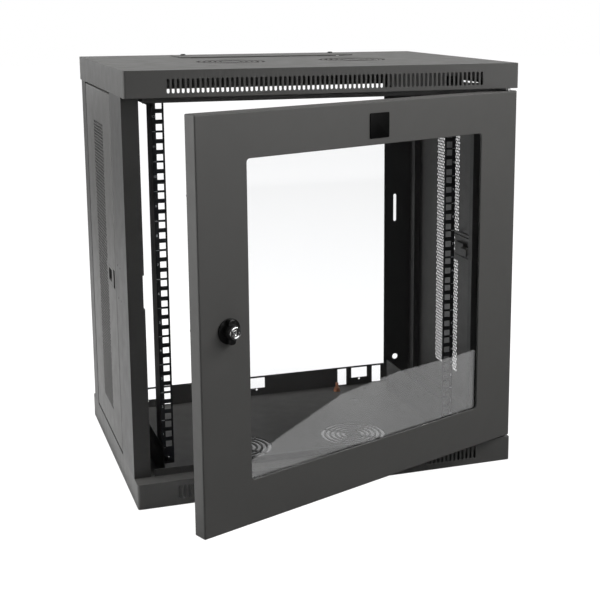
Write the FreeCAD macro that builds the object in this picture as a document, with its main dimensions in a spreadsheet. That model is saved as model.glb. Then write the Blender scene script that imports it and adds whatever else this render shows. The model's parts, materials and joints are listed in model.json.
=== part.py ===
"""Wall mount network cabinet, 12 rack units, with a windowed front door.

Frame: +X to the right seen from the front, +Y to the back, +Z up. The origin is the centre of the
base, on the surface that the cabinet stands on. The door is modelled open by door_angle.
"""
import FreeCAD, Part
import math
import os
import re

import Sketcher

Vector = FreeCAD.Vector

# Driving sizes, in millimetres and degrees.
SIZES = {
    # cabinet, over its covers
    "cabinet_width": 600,
    "cabinet_depth": 450,
    "cabinet_height": 635,
    "sheet_steel": 1.5,
    "cover_height": 38,
    "cover_corner": 4,
    "lip_depth": 47,
    # front ventilation slots of both covers
    "vent_count": 69,
    "vent_pitch": 7,
    "vent_width": 4,
    "vent_length": 20,
    "vent_drop": 12,
    "vent_rise": 10,
    # fan grilles, two in the roof and two in the floor
    "fan_spacing": 200,
    "fan_setback": 195,
    "grille_radius": 54,
    "grille_slot": 5.2,
    "grille_pitch": 8.7,
    "grille_rings": 5,
    "grille_spoke": 4,
    # cable openings in the rear flanges of both covers
    "entry_offset": 204,
    "entry_step": 35,
    "entry_wide": 32,
    "entry_narrow": 18,
    "entry_short": 20,
    "entry_tall": 32,
    "entry_margin": 3,
    "entry_hole_radius": 2,
    "entry_hole_drop": 2.6,
    # cable opening in the roof and its cover plate
    "hatch_width": 268,
    "hatch_depth": 64,
    "hatch_setback": 126,
    "plate_width": 300,
    "plate_depth": 83,
    "plate_gap": 8,
    "plate_screw_spacing": 264,
    "plate_screw_margin": 15,
    "plate_screw_radius": 2,
    "plate_screw_head": 4.5,
    "plate_screw_rise": 2.2,
    "plate_screw_length": 9,
    # floor holes and ground stud
    "gland_radius": 8,
    "gland_side": 162,
    "gland_setback": 86,
    "spare_hole_radius": 3.5,
    "spare_hole_side": 204,
    "spare_hole_setback": 31,
    "stud_radius": 3,
    "stud_height": 16,
    "stud_side": 150,
    "stud_setback": 27,
    "stud_washer": 6.6,
    "stud_nut": 5.7,
    "stud_nut_height": 5,
    # columns
    "front_recess": 27,
    "rear_recess": 20,
    "front_face": 24.5,
    "front_side": 102,
    "front_return": 20,
    "rear_face": 53,
    "rear_side": 42,
    "joggle": 14,
    "joggle_lip": 12,
    "tab_reach": 26,
    "tab_overlap": 22,
    "tab_width": 60,
    "tongue_inset": 6.6,
    "notch_low": 293,
    "notch_high": 343,
    "notch_width": 2,
    "pilot_radius": 1.8,
    "pilot_front": 61.5,
    "pilot_step": 22.5,
    "pilot_low": 292.5,
    "pilot_rise": 50,
    # wall fixing holes in the rear columns
    "wall_hole_spacing": 540,
    "wall_hole_low": 56,
    "wall_hole_rise": 530,
    "wall_hole_radius": 5.5,
    "wall_slot_width": 6,
    "wall_slot_shift": 2,
    "wall_slot_low": 320,
    "wall_slot_length": 52,
    # cross members
    "header_width": 540,
    "header_height": 9,
    "sill_height": 10.5,
    "cross_flange": 16,
    "rear_header_height": 19,
    # side panels
    "panel_gap": 3,
    "panel_gap_high": 2.5,
    "panel_fold": 12.2,
    "perforation_front": 212,
    "perforation_depth": 90,
    "perforation_low": 88,
    "perforation_height": 456,
    "perforation_radius": 2.5,
    "perforation_pitch": 8,
    # side panel latches
    "latch_low": 298,
    "latch_high": 327,
    "latch_opening_front": 142.5,
    "latch_opening_length": 71.5,
    "latch_length": 58,
    "latch_clearance": 0.3,
    "latch_steel": 1.2,
    "latch_margin": 4,
    "latch_tail": 5,
    "pocket_length": 28,
    "pocket_height": 19.2,
    "pocket_front": 16,
    "pocket_depth": 9,
    "tongue_thickness": 2.5,
    "tongue_height": 12,
    "tongue_reach": 12,
    "guide_length": 88,
    "guide_foot": 7,
    "guide_overhang": 4,
    # rack rails
    "rack_units": 12,
    "rack_unit": 44.45,
    "rack_base": 50.8,
    "rack_opening": 450,
    "rack_hole_spacing": 465.1,
    "rack_hole": 9.5,
    "rack_hole_first": 6.35,
    "rack_hole_step": 15.875,
    "rail_setback": 105,
    "rail_face": 18.7,
    "rail_side": 38,
    "rail_end": 25,
    "rail_relief": 21,
    # brackets that carry the rails
    "bracket_foot": 30,
    "bracket_height": 58,
    "bracket_front": 85,
    "bracket_length": 320,
    "bracket_tab": 17.2,
    "bracket_tab_end": 44,
    "rail_screw_side": 236,
    "rail_screw_end": 33,
    "rail_screw_radius": 3,
    "rail_screw_head": 5.5,
    "rail_screw_rise": 3.4,
    "rail_screw_length": 12,
    "rail_nut": 5.8,
    "rail_nut_height": 5,
    "screw_clearance": 0.3,
    # door
    "door_angle": 22,
    "door_gap_side": 3,
    "door_gap_low": 2.5,
    "door_gap_high": 4,
    "door_thickness": 21,
    "door_corner": 2,
    "door_lip": 12,
    "window_side": 78,
    "window_low": 62,
    "window_high": 60,
    "window_corner": 5,
    "window_fold": 3,
    "glazing": 3,
    "glazing_lap": 12,
    "clip_width": 16,
    "clip_foot": 10,
    "clip_finger": 8,
    "clip_steel": 1.2,
    "clip_spacing": 150,
    "clip_rise": 260,
    "badge_width": 36,
    "badge_height": 35,
    "badge_centre": 10,
    "badge_level": 559.5,
    "badge_thickness": 1.2,
    "bumper_radius": 4,
    "bumper_inset": 6,
    "bumper_level": 143,
    "bumper_step": 174,
    "bumper_clearance": 0.3,
    # door hinge
    "hinge_inset": 10,
    "hinge_depth": 10.5,
    "pin_radius": 4,
    "pin_reach": 6,
    "pin_length": 28,
    "pin_head": 6.5,
    "pin_head_height": 2.5,
    "pin_clearance": 0.05,
    "washer_radius": 8,
    "hinge_arm": 16,
    "hinge_arm_width": 15,
    "hinge_foot": 14,
    # lock
    "lock_inset": 45,
    "lock_level": 314,
    "lock_flange_radius": 17,
    "lock_flange": 2,
    "lock_barrel_radius": 11,
    "lock_barrel": 25,
    "lock_nut_radius": 15,
    "lock_nut_height": 6,
    "knob_gap": 0.2,
    "knob_hub_radius": 9.5,
    "knob_height": 12,
    "wing_height": 34,
    "wing_width": 10,
    "wing_rise": 7,
    "spindle_radius": 5,
    "plug_radius": 6.5,
    "plug_depth": 9,
    "plug_ring_radius": 8,
    "plug_ring": 1.4,
    "key_slot_width": 1.6,
    "key_slot_height": 7,
    "key_slot_depth": 4,
    "cam_level": 29.5,
    "cam_thickness": 2,
    "cam_width": 14,
    "cam_reach": 34,
    "cam_heel": 9,
    "cam_screw_radius": 2.5,
    "cam_screw_head": 4.5,
    "cam_screw_rise": 3,
    "cam_screw_length": 12,
}

# Places worked out from the driving sizes.
PLACES = {
    "side": "cabinet_width / 2",
    "front": "-cabinet_depth / 2",
    "rear": "cabinet_depth / 2",
    "low_rim": "cover_height",
    "high_rim": "cabinet_height - cover_height",
    "fan_level": "front + fan_setback",
    "spoke_end": "grille_radius + 2 * grille_slot",
    "entry_top": "cover_height - entry_margin",
    "hatch_front": "rear - hatch_setback",
    "plate_front": "hatch_front + plate_gap",
    "plate_rear": "plate_front + plate_depth",
    "plate_screw_y": "plate_rear - plate_screw_margin",
    "column_front": "front + front_recess",
    "column_rear": "rear - rear_recess",
    "front_side_end": "column_front + front_side",
    "rear_side_end": "column_rear - rear_side",
    "joggle_face": "side - joggle",
    "tab_outer": "side - sheet_steel",
    "panel_front": "front_side_end + panel_gap",
    "panel_rear": "rear_side_end - panel_gap",
    "panel_low": "low_rim + panel_gap_high",
    "panel_high": "high_rim - panel_gap_high",
    "panel_inner": "side - sheet_steel",
    "latch_opening_y": "front + latch_opening_front",
    "latch_y": "latch_opening_y + latch_opening_length - latch_length",
    "latch_plate_outer": "panel_inner - latch_clearance",
    "latch_plate_inner": "latch_plate_outer - latch_steel",
    "guide_overhang_outer": "latch_plate_inner - latch_clearance",
    "guide_overhang_inner": "guide_overhang_outer - sheet_steel",
    "pocket_y": "latch_y + pocket_front",
    "latch_middle": "(latch_low + latch_high) / 2",
    "pocket_floor": "side - pocket_depth",
    "tongue_outer": "joggle_face - latch_clearance * 2",
    "tongue_inner": "tongue_outer - tongue_thickness",
    "rail_front": "front + rail_setback",
    "rail_inner": "rack_opening / 2",
    "rail_outer": "rail_inner + rail_face",
    "rail_low": "rail_end",
    "rail_high": "cabinet_height - rail_end",
    "door_left": "-side + door_gap_side",
    "door_right": "side - door_gap_side",
    "door_low": "low_rim + door_gap_low",
    "door_high": "high_rim - door_gap_high",
    "door_back": "front + door_thickness",
    "window_left": "door_left + window_side",
    "window_right": "door_right - window_side",
    "window_bottom": "door_low + window_low",
    "window_top": "door_high - window_high",
    "fold_end": "front + window_fold",
    "glazing_back": "fold_end + glazing",
    "hinge_x": "door_right - hinge_inset",
    "hinge_y": "front + hinge_depth",
    "lock_x": "door_left + lock_inset",
    "knob_back": "front - lock_flange - knob_gap",
    "knob_front": "knob_back - knob_height",
    "spindle_end": "front + cam_level",
}

PLANE_NORMAL = {"XY_Plane": 1, "XZ_Plane": -1, "YZ_Plane": 1}
TURN = {
    "x": FreeCAD.Rotation(Vector(0, 1, 0), 90),
    "y": FreeCAD.Rotation(Vector(1, 0, 0), -90),
    "z": FreeCAD.Rotation(),
}
NODES = []

doc = FreeCAD.newDocument("network_cabinet")
sheet = doc.addObject("Spreadsheet::Sheet", "sizes")
for row, (alias, number) in enumerate(SIZES.items(), start=1):
    sheet.set(f"A{row}", alias)
    sheet.set(f"B{row}", str(number))
    sheet.setAlias(f"B{row}", alias)
doc.recompute()


# ---------------------------------------------------------------- expressions

def full(expression):
    """Writes places out in sizes, and points each size at its cell."""
    def word(match):
        name = match.group(0)
        if name in PLACES:
            return "(" + full(PLACES[name]) + ")"
        if name in SIZES:
            return "sizes." + name
        return name
    return re.sub(r"[a-z][a-z_]*", word, expression)


def value(expression):
    return float(sheet.evalExpression(full(expression)))


def bind(item, property_name, expression):
    item.setExpression(property_name, full(expression))


def node(item, label):
    """Marks an object as a finished sub-part."""
    item.Label = label
    NODES.append(item)
    return item


# ---------------------------------------------------------------- primitives and booleans

def box(name, x, y, z):
    """A box between three pairs of places."""
    item = doc.addObject("Part::Box", name)
    for axis, size, (low, high) in (("x", "Length", x), ("y", "Width", y), ("z", "Height", z)):
        bind(item, size, f"({high}) - ({low})")
        bind(item, f"Placement.Base.{axis}", low)
    return item


def cylinder(name, axis, radius, low, high, across):
    """A cylinder along an axis; across is its centre on the other two axes, in x, y, z order."""
    item = doc.addObject("Part::Cylinder", name)
    item.Placement = FreeCAD.Placement(Vector(), TURN[axis])
    bind(item, "Radius", radius)
    bind(item, "Height", f"({high}) - ({low})")
    bind(item, f"Placement.Base.{axis}", low)
    for other, place in zip([letter for letter in "xyz" if letter != axis], across):
        bind(item, f"Placement.Base.{other}", place)
    return item


def hexagon(name, axis, radius, low, high, across):
    """A hexagonal prism along an axis, radius to its corners."""
    item = doc.addObject("Part::Prism", name)
    item.Polygon = 6
    item.Placement = FreeCAD.Placement(Vector(), TURN[axis])
    bind(item, "Circumradius", radius)
    bind(item, "Height", f"({high}) - ({low})")
    bind(item, f"Placement.Base.{axis}", low)
    for other, place in zip([letter for letter in "xyz" if letter != axis], across):
        bind(item, f"Placement.Base.{other}", place)
    return item


def join(name, pieces, refine=True):
    item = doc.addObject("Part::MultiFuse", name)
    item.Shapes = pieces
    item.Refine = refine
    return item


def group(name, pieces):
    """Separate solids kept together in one object."""
    item = doc.addObject("Part::Compound", name)
    item.Links = pieces
    return item


def cut(name, base, tools):
    item = doc.addObject("Part::Cut", name)
    item.Base = base
    item.Tool = tools[0] if len(tools) == 1 else join(name + "_tools", tools)
    return item


def mirror(name, source, normal=Vector(1, 0, 0), level="0"):
    """The source seen in a plane square to X or Z."""
    item = doc.addObject("Part::Mirroring", name)
    item.Source = source
    item.Normal = normal
    item.Base = normal * value(level)
    for axis in "xyz":
        if getattr(normal, axis):
            bind(item, f"Base.{axis}", level)
    return item


def swing(item):
    """Opens a piece of the door about the hinge; the piece is a boolean or a group."""
    turn = FreeCAD.Rotation(Vector(0, 0, 1), value("door_angle"))
    item.Placement = FreeCAD.Placement(Vector(), turn, Vector(value("hinge_x"), value("hinge_y"), 0))
    return item


# ---------------------------------------------------------------- sketched bodies

def origin_feature(body, role):
    return next(item for item in body.Origin.OriginFeatures if item.Role == role)


def new_sketch(body, name, plane, level):
    """A sketch on an origin plane of the body, lifted along the plane's normal."""
    sketch = body.newObject("Sketcher::SketchObject", name)
    sketch.AttachmentSupport = (origin_feature(body, plane), [""])
    sketch.MapMode = "FlatFace"
    bind(sketch, "AttachmentOffset.Base.z", level)
    return sketch


def hold(sketch, kind, geometry, point, expression):
    """Ties a coordinate of a point to an expression."""
    index = sketch.addConstraint(Sketcher.Constraint(kind, geometry, point, value(expression)))
    bind(sketch, f"Constraints[{index}]", expression)


def polygon(points):
    """Draws a closed outline through pairs of places."""
    def draw(sketch):
        first = sketch.GeometryCount
        corners = [Vector(value(x), value(y), 0) for x, y in points]
        count = len(corners)
        for index in range(count):
            line = Part.LineSegment(corners[index], corners[(index + 1) % count])
            sketch.addGeometry(line, False)
        for index in range(count):
            following = first + (index + 1) % count
            sketch.addConstraint(Sketcher.Constraint("Coincident", first + index, 2, following, 1))
        for index, (x, y) in enumerate(points):
            hold(sketch, "DistanceX", first + index, 1, x)
            hold(sketch, "DistanceY", first + index, 1, y)
    return draw


def rectangle(x, y):
    return polygon([(x[0], y[0]), (x[1], y[0]), (x[1], y[1]), (x[0], y[1])])


def circle(x, y, radius):
    def draw(sketch):
        centre = Vector(value(x), value(y), 0)
        index = sketch.addGeometry(Part.Circle(centre, Vector(0, 0, 1), value(radius)), False)
        hold(sketch, "DistanceX", index, 3, x)
        hold(sketch, "DistanceY", index, 3, y)
        size = sketch.addConstraint(Sketcher.Constraint("Radius", index, value(radius)))
        bind(sketch, f"Constraints[{size}]", radius)
    return draw


def slot(x, low, high, width):
    """Draws an upright slot with round ends."""
    def draw(sketch):
        radius = value(width) / 2
        centre_x = value(x)
        centres = (value(low) + radius, value(high) - radius)
        up = Vector(0, 0, 1)
        arcs = []
        for centre_y, start in zip(centres, (math.pi, 0)):
            arc = Part.Circle(Vector(centre_x, centre_y, 0), up, radius)
            arcs.append(sketch.addGeometry(Part.ArcOfCircle(arc, start, start + math.pi), False))
        walls = []
        for wall_x, (start, end) in ((centre_x + radius, centres), (centre_x - radius, centres[::-1])):
            wall = Part.LineSegment(Vector(wall_x, start, 0), Vector(wall_x, end, 0))
            walls.append(sketch.addGeometry(wall, False))
        loop = (arcs[0], walls[0], arcs[1], walls[1])
        for index, geometry in enumerate(loop):
            following = loop[(index + 1) % len(loop)]
            sketch.addConstraint(Sketcher.Constraint("Tangent", geometry, 2, following, 1))
        sketch.addConstraint(Sketcher.Constraint("Equal", arcs[0], arcs[1]))
        for arc, level in zip(arcs, (f"{low} + {width} / 2", f"{high} - {width} / 2")):
            hold(sketch, "DistanceX", arc, 3, x)
            hold(sketch, "DistanceY", arc, 3, level)
        size = sketch.addConstraint(Sketcher.Constraint("Radius", arcs[0], radius))
        bind(sketch, f"Constraints[{size}]", f"{width} / 2")
    return draw


def new_body(name):
    return doc.addObject("PartDesign::Body", name)


def pad(body, name, plane, outlines, low, high):
    """Material between two places along the plane's axis."""
    level = low if PLANE_NORMAL[plane] > 0 else f"-({high})"
    sketch = new_sketch(body, name + "_sketch", plane, level)
    for draw in outlines:
        draw(sketch)
    feature = body.newObject("PartDesign::Pad", name)
    feature.Profile = sketch
    bind(feature, "Length", f"({high}) - ({low})")
    return feature


def pocket(body, name, plane, outlines, low, high):
    """A cut between two places along the plane's axis; it runs against the plane's normal."""
    level = high if PLANE_NORMAL[plane] > 0 else f"-({low})"
    sketch = new_sketch(body, name + "_sketch", plane, level)
    for draw in outlines:
        draw(sketch)
    feature = body.newObject("PartDesign::Pocket", name)
    feature.Profile = sketch
    bind(feature, "Length", f"({high}) - ({low})")
    return feature


def repeat(body, name, feature, role, pitch, count):
    """A row of copies of a feature along an origin axis of the body."""
    pattern = body.newObject("PartDesign::LinearPattern", name)
    pattern.Originals = [feature]
    pattern.Direction = (origin_feature(body, role), [""])
    bind(pattern, "Length", f"({pitch}) * ({count} - 1)")
    bind(pattern, "Occurrences", count)
    body.Tip = pattern
    return pattern


def round_edges(body, name, feature, radius, wanted):
    """Fillets the edges of a feature that pass a test."""
    doc.recompute()
    names = [f"Edge{place}" for place, edge in enumerate(feature.Shape.Edges, 1) if wanted(edge)]
    fillet = body.newObject("PartDesign::Fillet", name)
    fillet.Base = (feature, names)
    bind(fillet, "Radius", radius)
    return fillet


def runs_along(edge, axis):
    """True for a straight edge along X, Y or Z."""
    if not isinstance(edge.Curve, Part.Line):
        return False
    return abs(abs(edge.Curve.Direction.dot(axis)) - 1) < 1e-6


# ---------------------------------------------------------------- covers

def grille_tool():
    """Ring slots of all the fan grilles, as one tool that passes through floor and roof."""
    rings = []
    for index in range(int(value("grille_rings"))):
        outer = f"grille_radius - {index} * grille_pitch"
        span = ("-sheet_steel", "cabinet_height + sheet_steel")
        centre = ("fan_spacing / 2", "fan_level")
        disc = cylinder(f"grille_disc_{index}", "z", outer, *span, centre)
        core = cylinder(f"grille_core_{index}", "z", f"{outer} - grille_slot", *span, centre)
        rings.append(cut(f"grille_ring_{index}", disc, [core]))
    spokes = []
    for index, angle in enumerate((45, -45)):
        spoke = doc.addObject("Part::Box", f"grille_spoke_{index}")
        turn = FreeCAD.Rotation(Vector(0, 0, 1), angle)
        half = Vector(value("spoke_end"), value("grille_spoke") / 2, 0)
        centre = Vector(value("fan_spacing / 2"), value("fan_level"), -value("sheet_steel"))
        bind(spoke, "Length", "2 * spoke_end")
        bind(spoke, "Width", "grille_spoke")
        bind(spoke, "Height", "cabinet_height + 2 * sheet_steel")
        spoke.Placement = FreeCAD.Placement(centre - turn.multVec(half), turn)
        spokes.append(spoke)
    right = cut("grille_right", join("grille_rings_right", rings), spokes)
    left = mirror("grille_left", right)
    return join("grille_cuts", [right, left])


def entry_outlines(base):
    """Cable openings of a rear flange; base maps a height above the rim's foot to a place."""
    low = base("entry_top - entry_short")
    high = base("entry_top")
    outlines = []
    for centre in ("0", "entry_offset", "-entry_offset"):
        left = f"{centre} - entry_wide / 2"
        outlines.append(rectangle((left, f"{left} + entry_wide"), (low, high)))
        hole = base("entry_top - entry_short - entry_hole_drop")
        outlines.append(circle(centre, hole, "entry_hole_radius"))
    for centre in ("entry_offset", "-entry_offset"):
        for step in ("- entry_step", "+ entry_step"):
            left = f"{centre} {step} - entry_narrow / 2"
            tall = (base("entry_top - entry_tall"), high)
            outlines.append(rectangle((left, f"{left} + entry_narrow"), tall))
    return outlines


def cover_pan(name, low, high, hollow, inner, lip, vent, entry_base):
    """A folded pan with a lip behind its front flange, slots in front and openings at the back."""
    body = new_body(name)
    whole = (("-side", "side"), ("front", "rear"))
    block = pad(body, name + "_block", "XY_Plane", [rectangle(*whole)], low, high)
    upright = Vector(0, 0, 1)
    round_edges(body, name + "_corners", block, "cover_corner", lambda edge: runs_along(edge, upright))
    inside = ("-side + sheet_steel", "side - sheet_steel")
    behind_lip = rectangle(inside, ("front + lip_depth", "rear - sheet_steel"))
    pocket(body, name + "_hollow", "XY_Plane", [behind_lip], *hollow)
    under_lip = rectangle(inside, ("front + sheet_steel", "front + lip_depth"))
    pocket(body, name + "_front_hollow", "XY_Plane", [under_lip], *inner)
    pin_hole = circle("hinge_x", "hinge_y", "pin_radius + pin_clearance")
    pocket(body, name + "_pin_hole", "XY_Plane", [pin_hole], *lip)
    first = slot("-vent_pitch * (vent_count - 1) / 2", *vent, "vent_width")
    vents = pocket(body, name + "_vent", "XZ_Plane", [first], "front", "front + sheet_steel")
    repeat(body, name + "_vents", vents, "X_Axis", "vent_pitch", "vent_count")
    openings = entry_outlines(entry_base)
    pocket(body, name + "_entries", "XZ_Plane", openings, "rear - sheet_steel", "rear")
    return body


def make_covers():
    grilles = grille_tool()
    floor_pan = cover_pan(
        "floor_pan", "0", "low_rim",
        hollow=("sheet_steel", "low_rim"),
        inner=("sheet_steel", "low_rim - sheet_steel"),
        lip=("low_rim - sheet_steel", "low_rim"),
        vent=("vent_rise", "vent_rise + vent_length"),
        entry_base=lambda height: height)
    span = ("-sheet_steel", "2 * sheet_steel")
    gland = cylinder("gland_hole", "z", "gland_radius", *span, ("gland_side", "rear - gland_setback"))
    spare = cylinder(
        "spare_hole", "z", "spare_hole_radius", *span, ("spare_hole_side", "rear - spare_hole_setback"))
    node(cut("bottom_cover", floor_pan, [grilles, gland, spare]), "bottom_cover")

    roof_pan = cover_pan(
        "roof_pan", "high_rim", "cabinet_height",
        hollow=("high_rim", "cabinet_height - sheet_steel"),
        inner=("high_rim + sheet_steel", "cabinet_height - sheet_steel"),
        lip=("high_rim", "high_rim + sheet_steel"),
        vent=("cabinet_height - vent_drop - vent_length", "cabinet_height - vent_drop"),
        entry_base=lambda height: f"cabinet_height - ({height})")
    roof = ("cabinet_height - 2 * sheet_steel", "cabinet_height + 2 * sheet_steel")
    hatch = box(
        "hatch", ("-hatch_width / 2", "hatch_width / 2"), ("hatch_front", "hatch_front + hatch_depth"), roof)
    screw_hole = cylinder(
        "plate_screw_hole", "z", "plate_screw_radius + screw_clearance", *roof,
        ("plate_screw_spacing / 2", "plate_screw_y"))
    screw_holes = [screw_hole, mirror("plate_screw_hole_left", screw_hole)]
    node(cut("top_cover", roof_pan, [grilles, hatch, *screw_holes]), "top_cover")

    plate = box(
        "cable_plate_blank", ("-plate_width / 2", "plate_width / 2"), ("plate_front", "plate_rear"),
        ("cabinet_height", "cabinet_height + sheet_steel"))
    node(cut("cable_plate", plate, screw_holes), "cable_plate")

    plate_top = "cabinet_height + sheet_steel"
    centre = ("plate_screw_spacing / 2", "plate_screw_y")
    head = cylinder(
        "plate_screw_head", "z", "plate_screw_head", plate_top, f"{plate_top} + plate_screw_rise", centre)
    shank = cylinder(
        "plate_screw_shank", "z", "plate_screw_radius", f"{plate_top} - plate_screw_length", plate_top,
        centre)
    screw = join("plate_screw", [head, shank])
    node(group("cable_plate_screws", [screw, mirror("plate_screw_left", screw)]), "cable_plate_screws")

    centre = ("stud_side", "rear - stud_setback")
    stud = cylinder("ground_stud", "z", "stud_radius", "sheet_steel", "sheet_steel + stud_height", centre)
    node(stud, "ground_stud")
    washer = cylinder("ground_washer", "z", "stud_washer", "sheet_steel", "2 * sheet_steel", centre)
    nut = hexagon(
        "ground_hexagon", "z", "stud_nut", "2 * sheet_steel", "2 * sheet_steel + stud_nut_height", centre)
    bore = cylinder("ground_bore", "z", "stud_radius + pin_clearance", "0", "stud_height", centre)
    node(cut("ground_nut", join("ground_nut_blank", [washer, nut]), [bore]), "ground_nut")


# ---------------------------------------------------------------- columns and cross members

def column_tabs(name, low_y, high_y):
    """Tabs inside the cover flanges, at both ends of a column's side wall."""
    wall = ("tab_outer - sheet_steel", "tab_outer")
    span = (low_y, high_y)
    low = box(name + "_low_tab", wall, span, ("low_rim - tab_reach", "low_rim + tab_overlap"))
    high = box(name + "_high_tab", wall, span, ("high_rim - tab_overlap", "high_rim + tab_reach"))
    return [low, high]


def front_column():
    """Right-hand front column: face, inward return, side wall and joggled rear lip."""
    body = new_body("front_profile")
    inner = "side - front_face"
    outline = [
        (inner, "column_front"),
        ("side", "column_front"),
        ("side", "front_side_end"),
        ("joggle_face + sheet_steel", "front_side_end"),
        ("joggle_face + sheet_steel", "front_side_end + joggle_lip"),
        ("joggle_face", "front_side_end + joggle_lip"),
        ("joggle_face", "front_side_end - sheet_steel"),
        ("side - sheet_steel", "front_side_end - sheet_steel"),
        ("side - sheet_steel", "column_front + sheet_steel"),
        (f"{inner} + sheet_steel", "column_front + sheet_steel"),
        (f"{inner} + sheet_steel", "column_front + front_return"),
        (inner, "column_front + front_return"),
    ]
    pad(body, "front_profile_pad", "XY_Plane", [polygon(outline)], "low_rim", "high_rim")
    holes = []
    for place in ("pilot_low", "pilot_low + pilot_rise"):
        for step in ("0", "pilot_step"):
            holes.append(circle(f"column_front + pilot_front + {step}", place, "pilot_radius"))
    pocket(body, "front_pilots", "YZ_Plane", holes, "side - sheet_steel", "side")
    middle = "column_front + (front_side + lip_depth - front_recess) / 2"
    tabs = column_tabs("front_column", f"{middle} - tab_width / 2", f"{middle} + tab_width / 2")
    return join("front_column_right", [body, *tabs])


def rear_column():
    """Right-hand rear column: side wall, wide rear flange and joggled front lip."""
    body = new_body("rear_profile")
    inner = "side - rear_face"
    outline = [
        (inner, "column_rear"),
        (inner, "column_rear - sheet_steel"),
        ("side - sheet_steel", "column_rear - sheet_steel"),
        ("side - sheet_steel", "rear_side_end + sheet_steel"),
        ("joggle_face", "rear_side_end + sheet_steel"),
        ("joggle_face", "rear_side_end - joggle_lip"),
        ("joggle_face + sheet_steel", "rear_side_end - joggle_lip"),
        ("joggle_face + sheet_steel", "rear_side_end"),
        ("side", "rear_side_end"),
        ("side", "column_rear"),
    ]
    pad(body, "rear_profile_pad", "XY_Plane", [polygon(outline)], "low_rim", "high_rim")
    flange = ("column_rear - sheet_steel", "column_rear")
    holes = [
        circle("wall_hole_spacing / 2", "wall_hole_low", "wall_hole_radius"),
        circle("wall_hole_spacing / 2", "wall_hole_low + wall_hole_rise", "wall_hole_radius"),
        slot(
            "wall_hole_spacing / 2 - wall_slot_shift", "wall_slot_low", "wall_slot_low + wall_slot_length",
            "wall_slot_width"),
    ]
    pocket(body, "wall_holes", "XZ_Plane", holes, *flange)
    tongues = []
    for name, rim, sign in (("low", "low_rim", "-"), ("high", "high_rim", "+")):
        tongue_body = new_body(f"rear_{name}_tongue")
        corner = [
            (inner, rim),
            (f"{inner} + joggle + tongue_inset", f"{rim} {sign} tab_reach / 2"),
            (f"{inner} + joggle + tongue_inset", f"{rim} {sign} tab_reach"),
            ("side - 2 * sheet_steel", f"{rim} {sign} tab_reach"),
            ("side - 2 * sheet_steel", rim),
        ]
        pad(tongue_body, f"rear_{name}_tongue_pad", "XZ_Plane", [polygon(corner)], *flange)
        tongues.append(tongue_body)
    tab_rear = "column_rear - 2 * sheet_steel"
    tabs = column_tabs("rear_column", f"{tab_rear} - rear_side + 4 * sheet_steel", tab_rear)
    return join("rear_column_right", [body, *tongues, *tabs])


def make_columns():
    right = node(front_column(), "front_column_right")
    face = "-side + front_face"
    notch = box(
        "strike_notch", (f"{face} - notch_width", face),
        ("column_front", "column_front + front_return"), ("notch_low", "notch_high"))
    node(cut("front_column_left", mirror("front_column_mirror", right), [notch]), "front_column_left")
    right = node(rear_column(), "rear_column_right")
    node(mirror("rear_column_left", right), "rear_column_left")


def cross_member(name, face, flange, half_width, front_y, rear_y, face_y):
    """An angle between the columns: a face and a flange along it."""
    across = (f"-({half_width})", half_width)
    upright = box(name + "_face", across, face_y, face)
    lying = box(name + "_flange", across, (front_y, rear_y), flange)
    return node(join(name, [upright, lying]), name)


def make_cross_members():
    front_face_y = ("column_front", "column_front + sheet_steel")
    flange_end = "column_front + cross_flange"
    cross_member(
        "front_header", ("high_rim - header_height", "high_rim"), ("high_rim - sheet_steel", "high_rim"),
        "header_width / 2", "column_front", flange_end, front_face_y)
    cross_member(
        "front_sill", ("low_rim", "low_rim + sill_height"), ("low_rim", "low_rim + sheet_steel"),
        "header_width / 2", "column_front", flange_end, front_face_y)
    cross_member(
        "rear_header", ("high_rim - rear_header_height", "high_rim"), ("high_rim - sheet_steel", "high_rim"),
        "side - rear_face", "column_rear - cross_flange", "column_rear",
        ("column_rear - sheet_steel", "column_rear"))


# ---------------------------------------------------------------- side panels and latches

def perforated_skin():
    """Outer skin of the right-hand side panel: latch opening and staggered rows of round holes."""
    inner_x = value("panel_inner")

    def frame(y_low, y_high, z_low, z_high):
        corners = ((y_low, z_low), (y_high, z_low), (y_high, z_high), (y_low, z_high), (y_low, z_low))
        return Part.makePolygon([Vector(inner_x, value(y), value(z)) for y, z in corners])

    outline = frame("panel_front", "panel_rear", "panel_low", "panel_high")
    opening = frame(
        "latch_opening_y", "latch_opening_y + latch_opening_length", "latch_low", "latch_high")
    wires = [opening]
    pitch = value("perforation_pitch")
    row_step = pitch * math.sqrt(3) / 2
    rows = int(value("perforation_height") / row_step)
    columns = int(value("perforation_depth") / pitch)
    along = Vector(1, 0, 0)
    first = Vector(inner_x, value("front + perforation_front"), value("perforation_low"))
    clear_height = value("(latch_high - latch_low) / 2 + perforation_radius + sheet_steel")
    clear_end = value("latch_opening_y + latch_opening_length + perforation_radius + sheet_steel")
    for row in range(rows + 1):
        shift = pitch / 2 if row % 2 else 0
        for column in range(columns + 1 - row % 2):
            centre = Vector(inner_x, first.y + shift + column * pitch, first.z + row * row_step)
            beside_latch = abs(centre.z - value("latch_middle")) < clear_height
            if beside_latch and centre.y < clear_end:
                continue
            wires.append(Part.Wire(Part.makeCircle(value("perforation_radius"), centre, along)))
    for wire in wires:
        wire.reverse()
    face = Part.Face([outline, *wires])
    skin = doc.addObject("Part::Feature", "perforated_skin")
    skin.Shape = face.extrude(along * value("sheet_steel"))
    return skin


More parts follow.
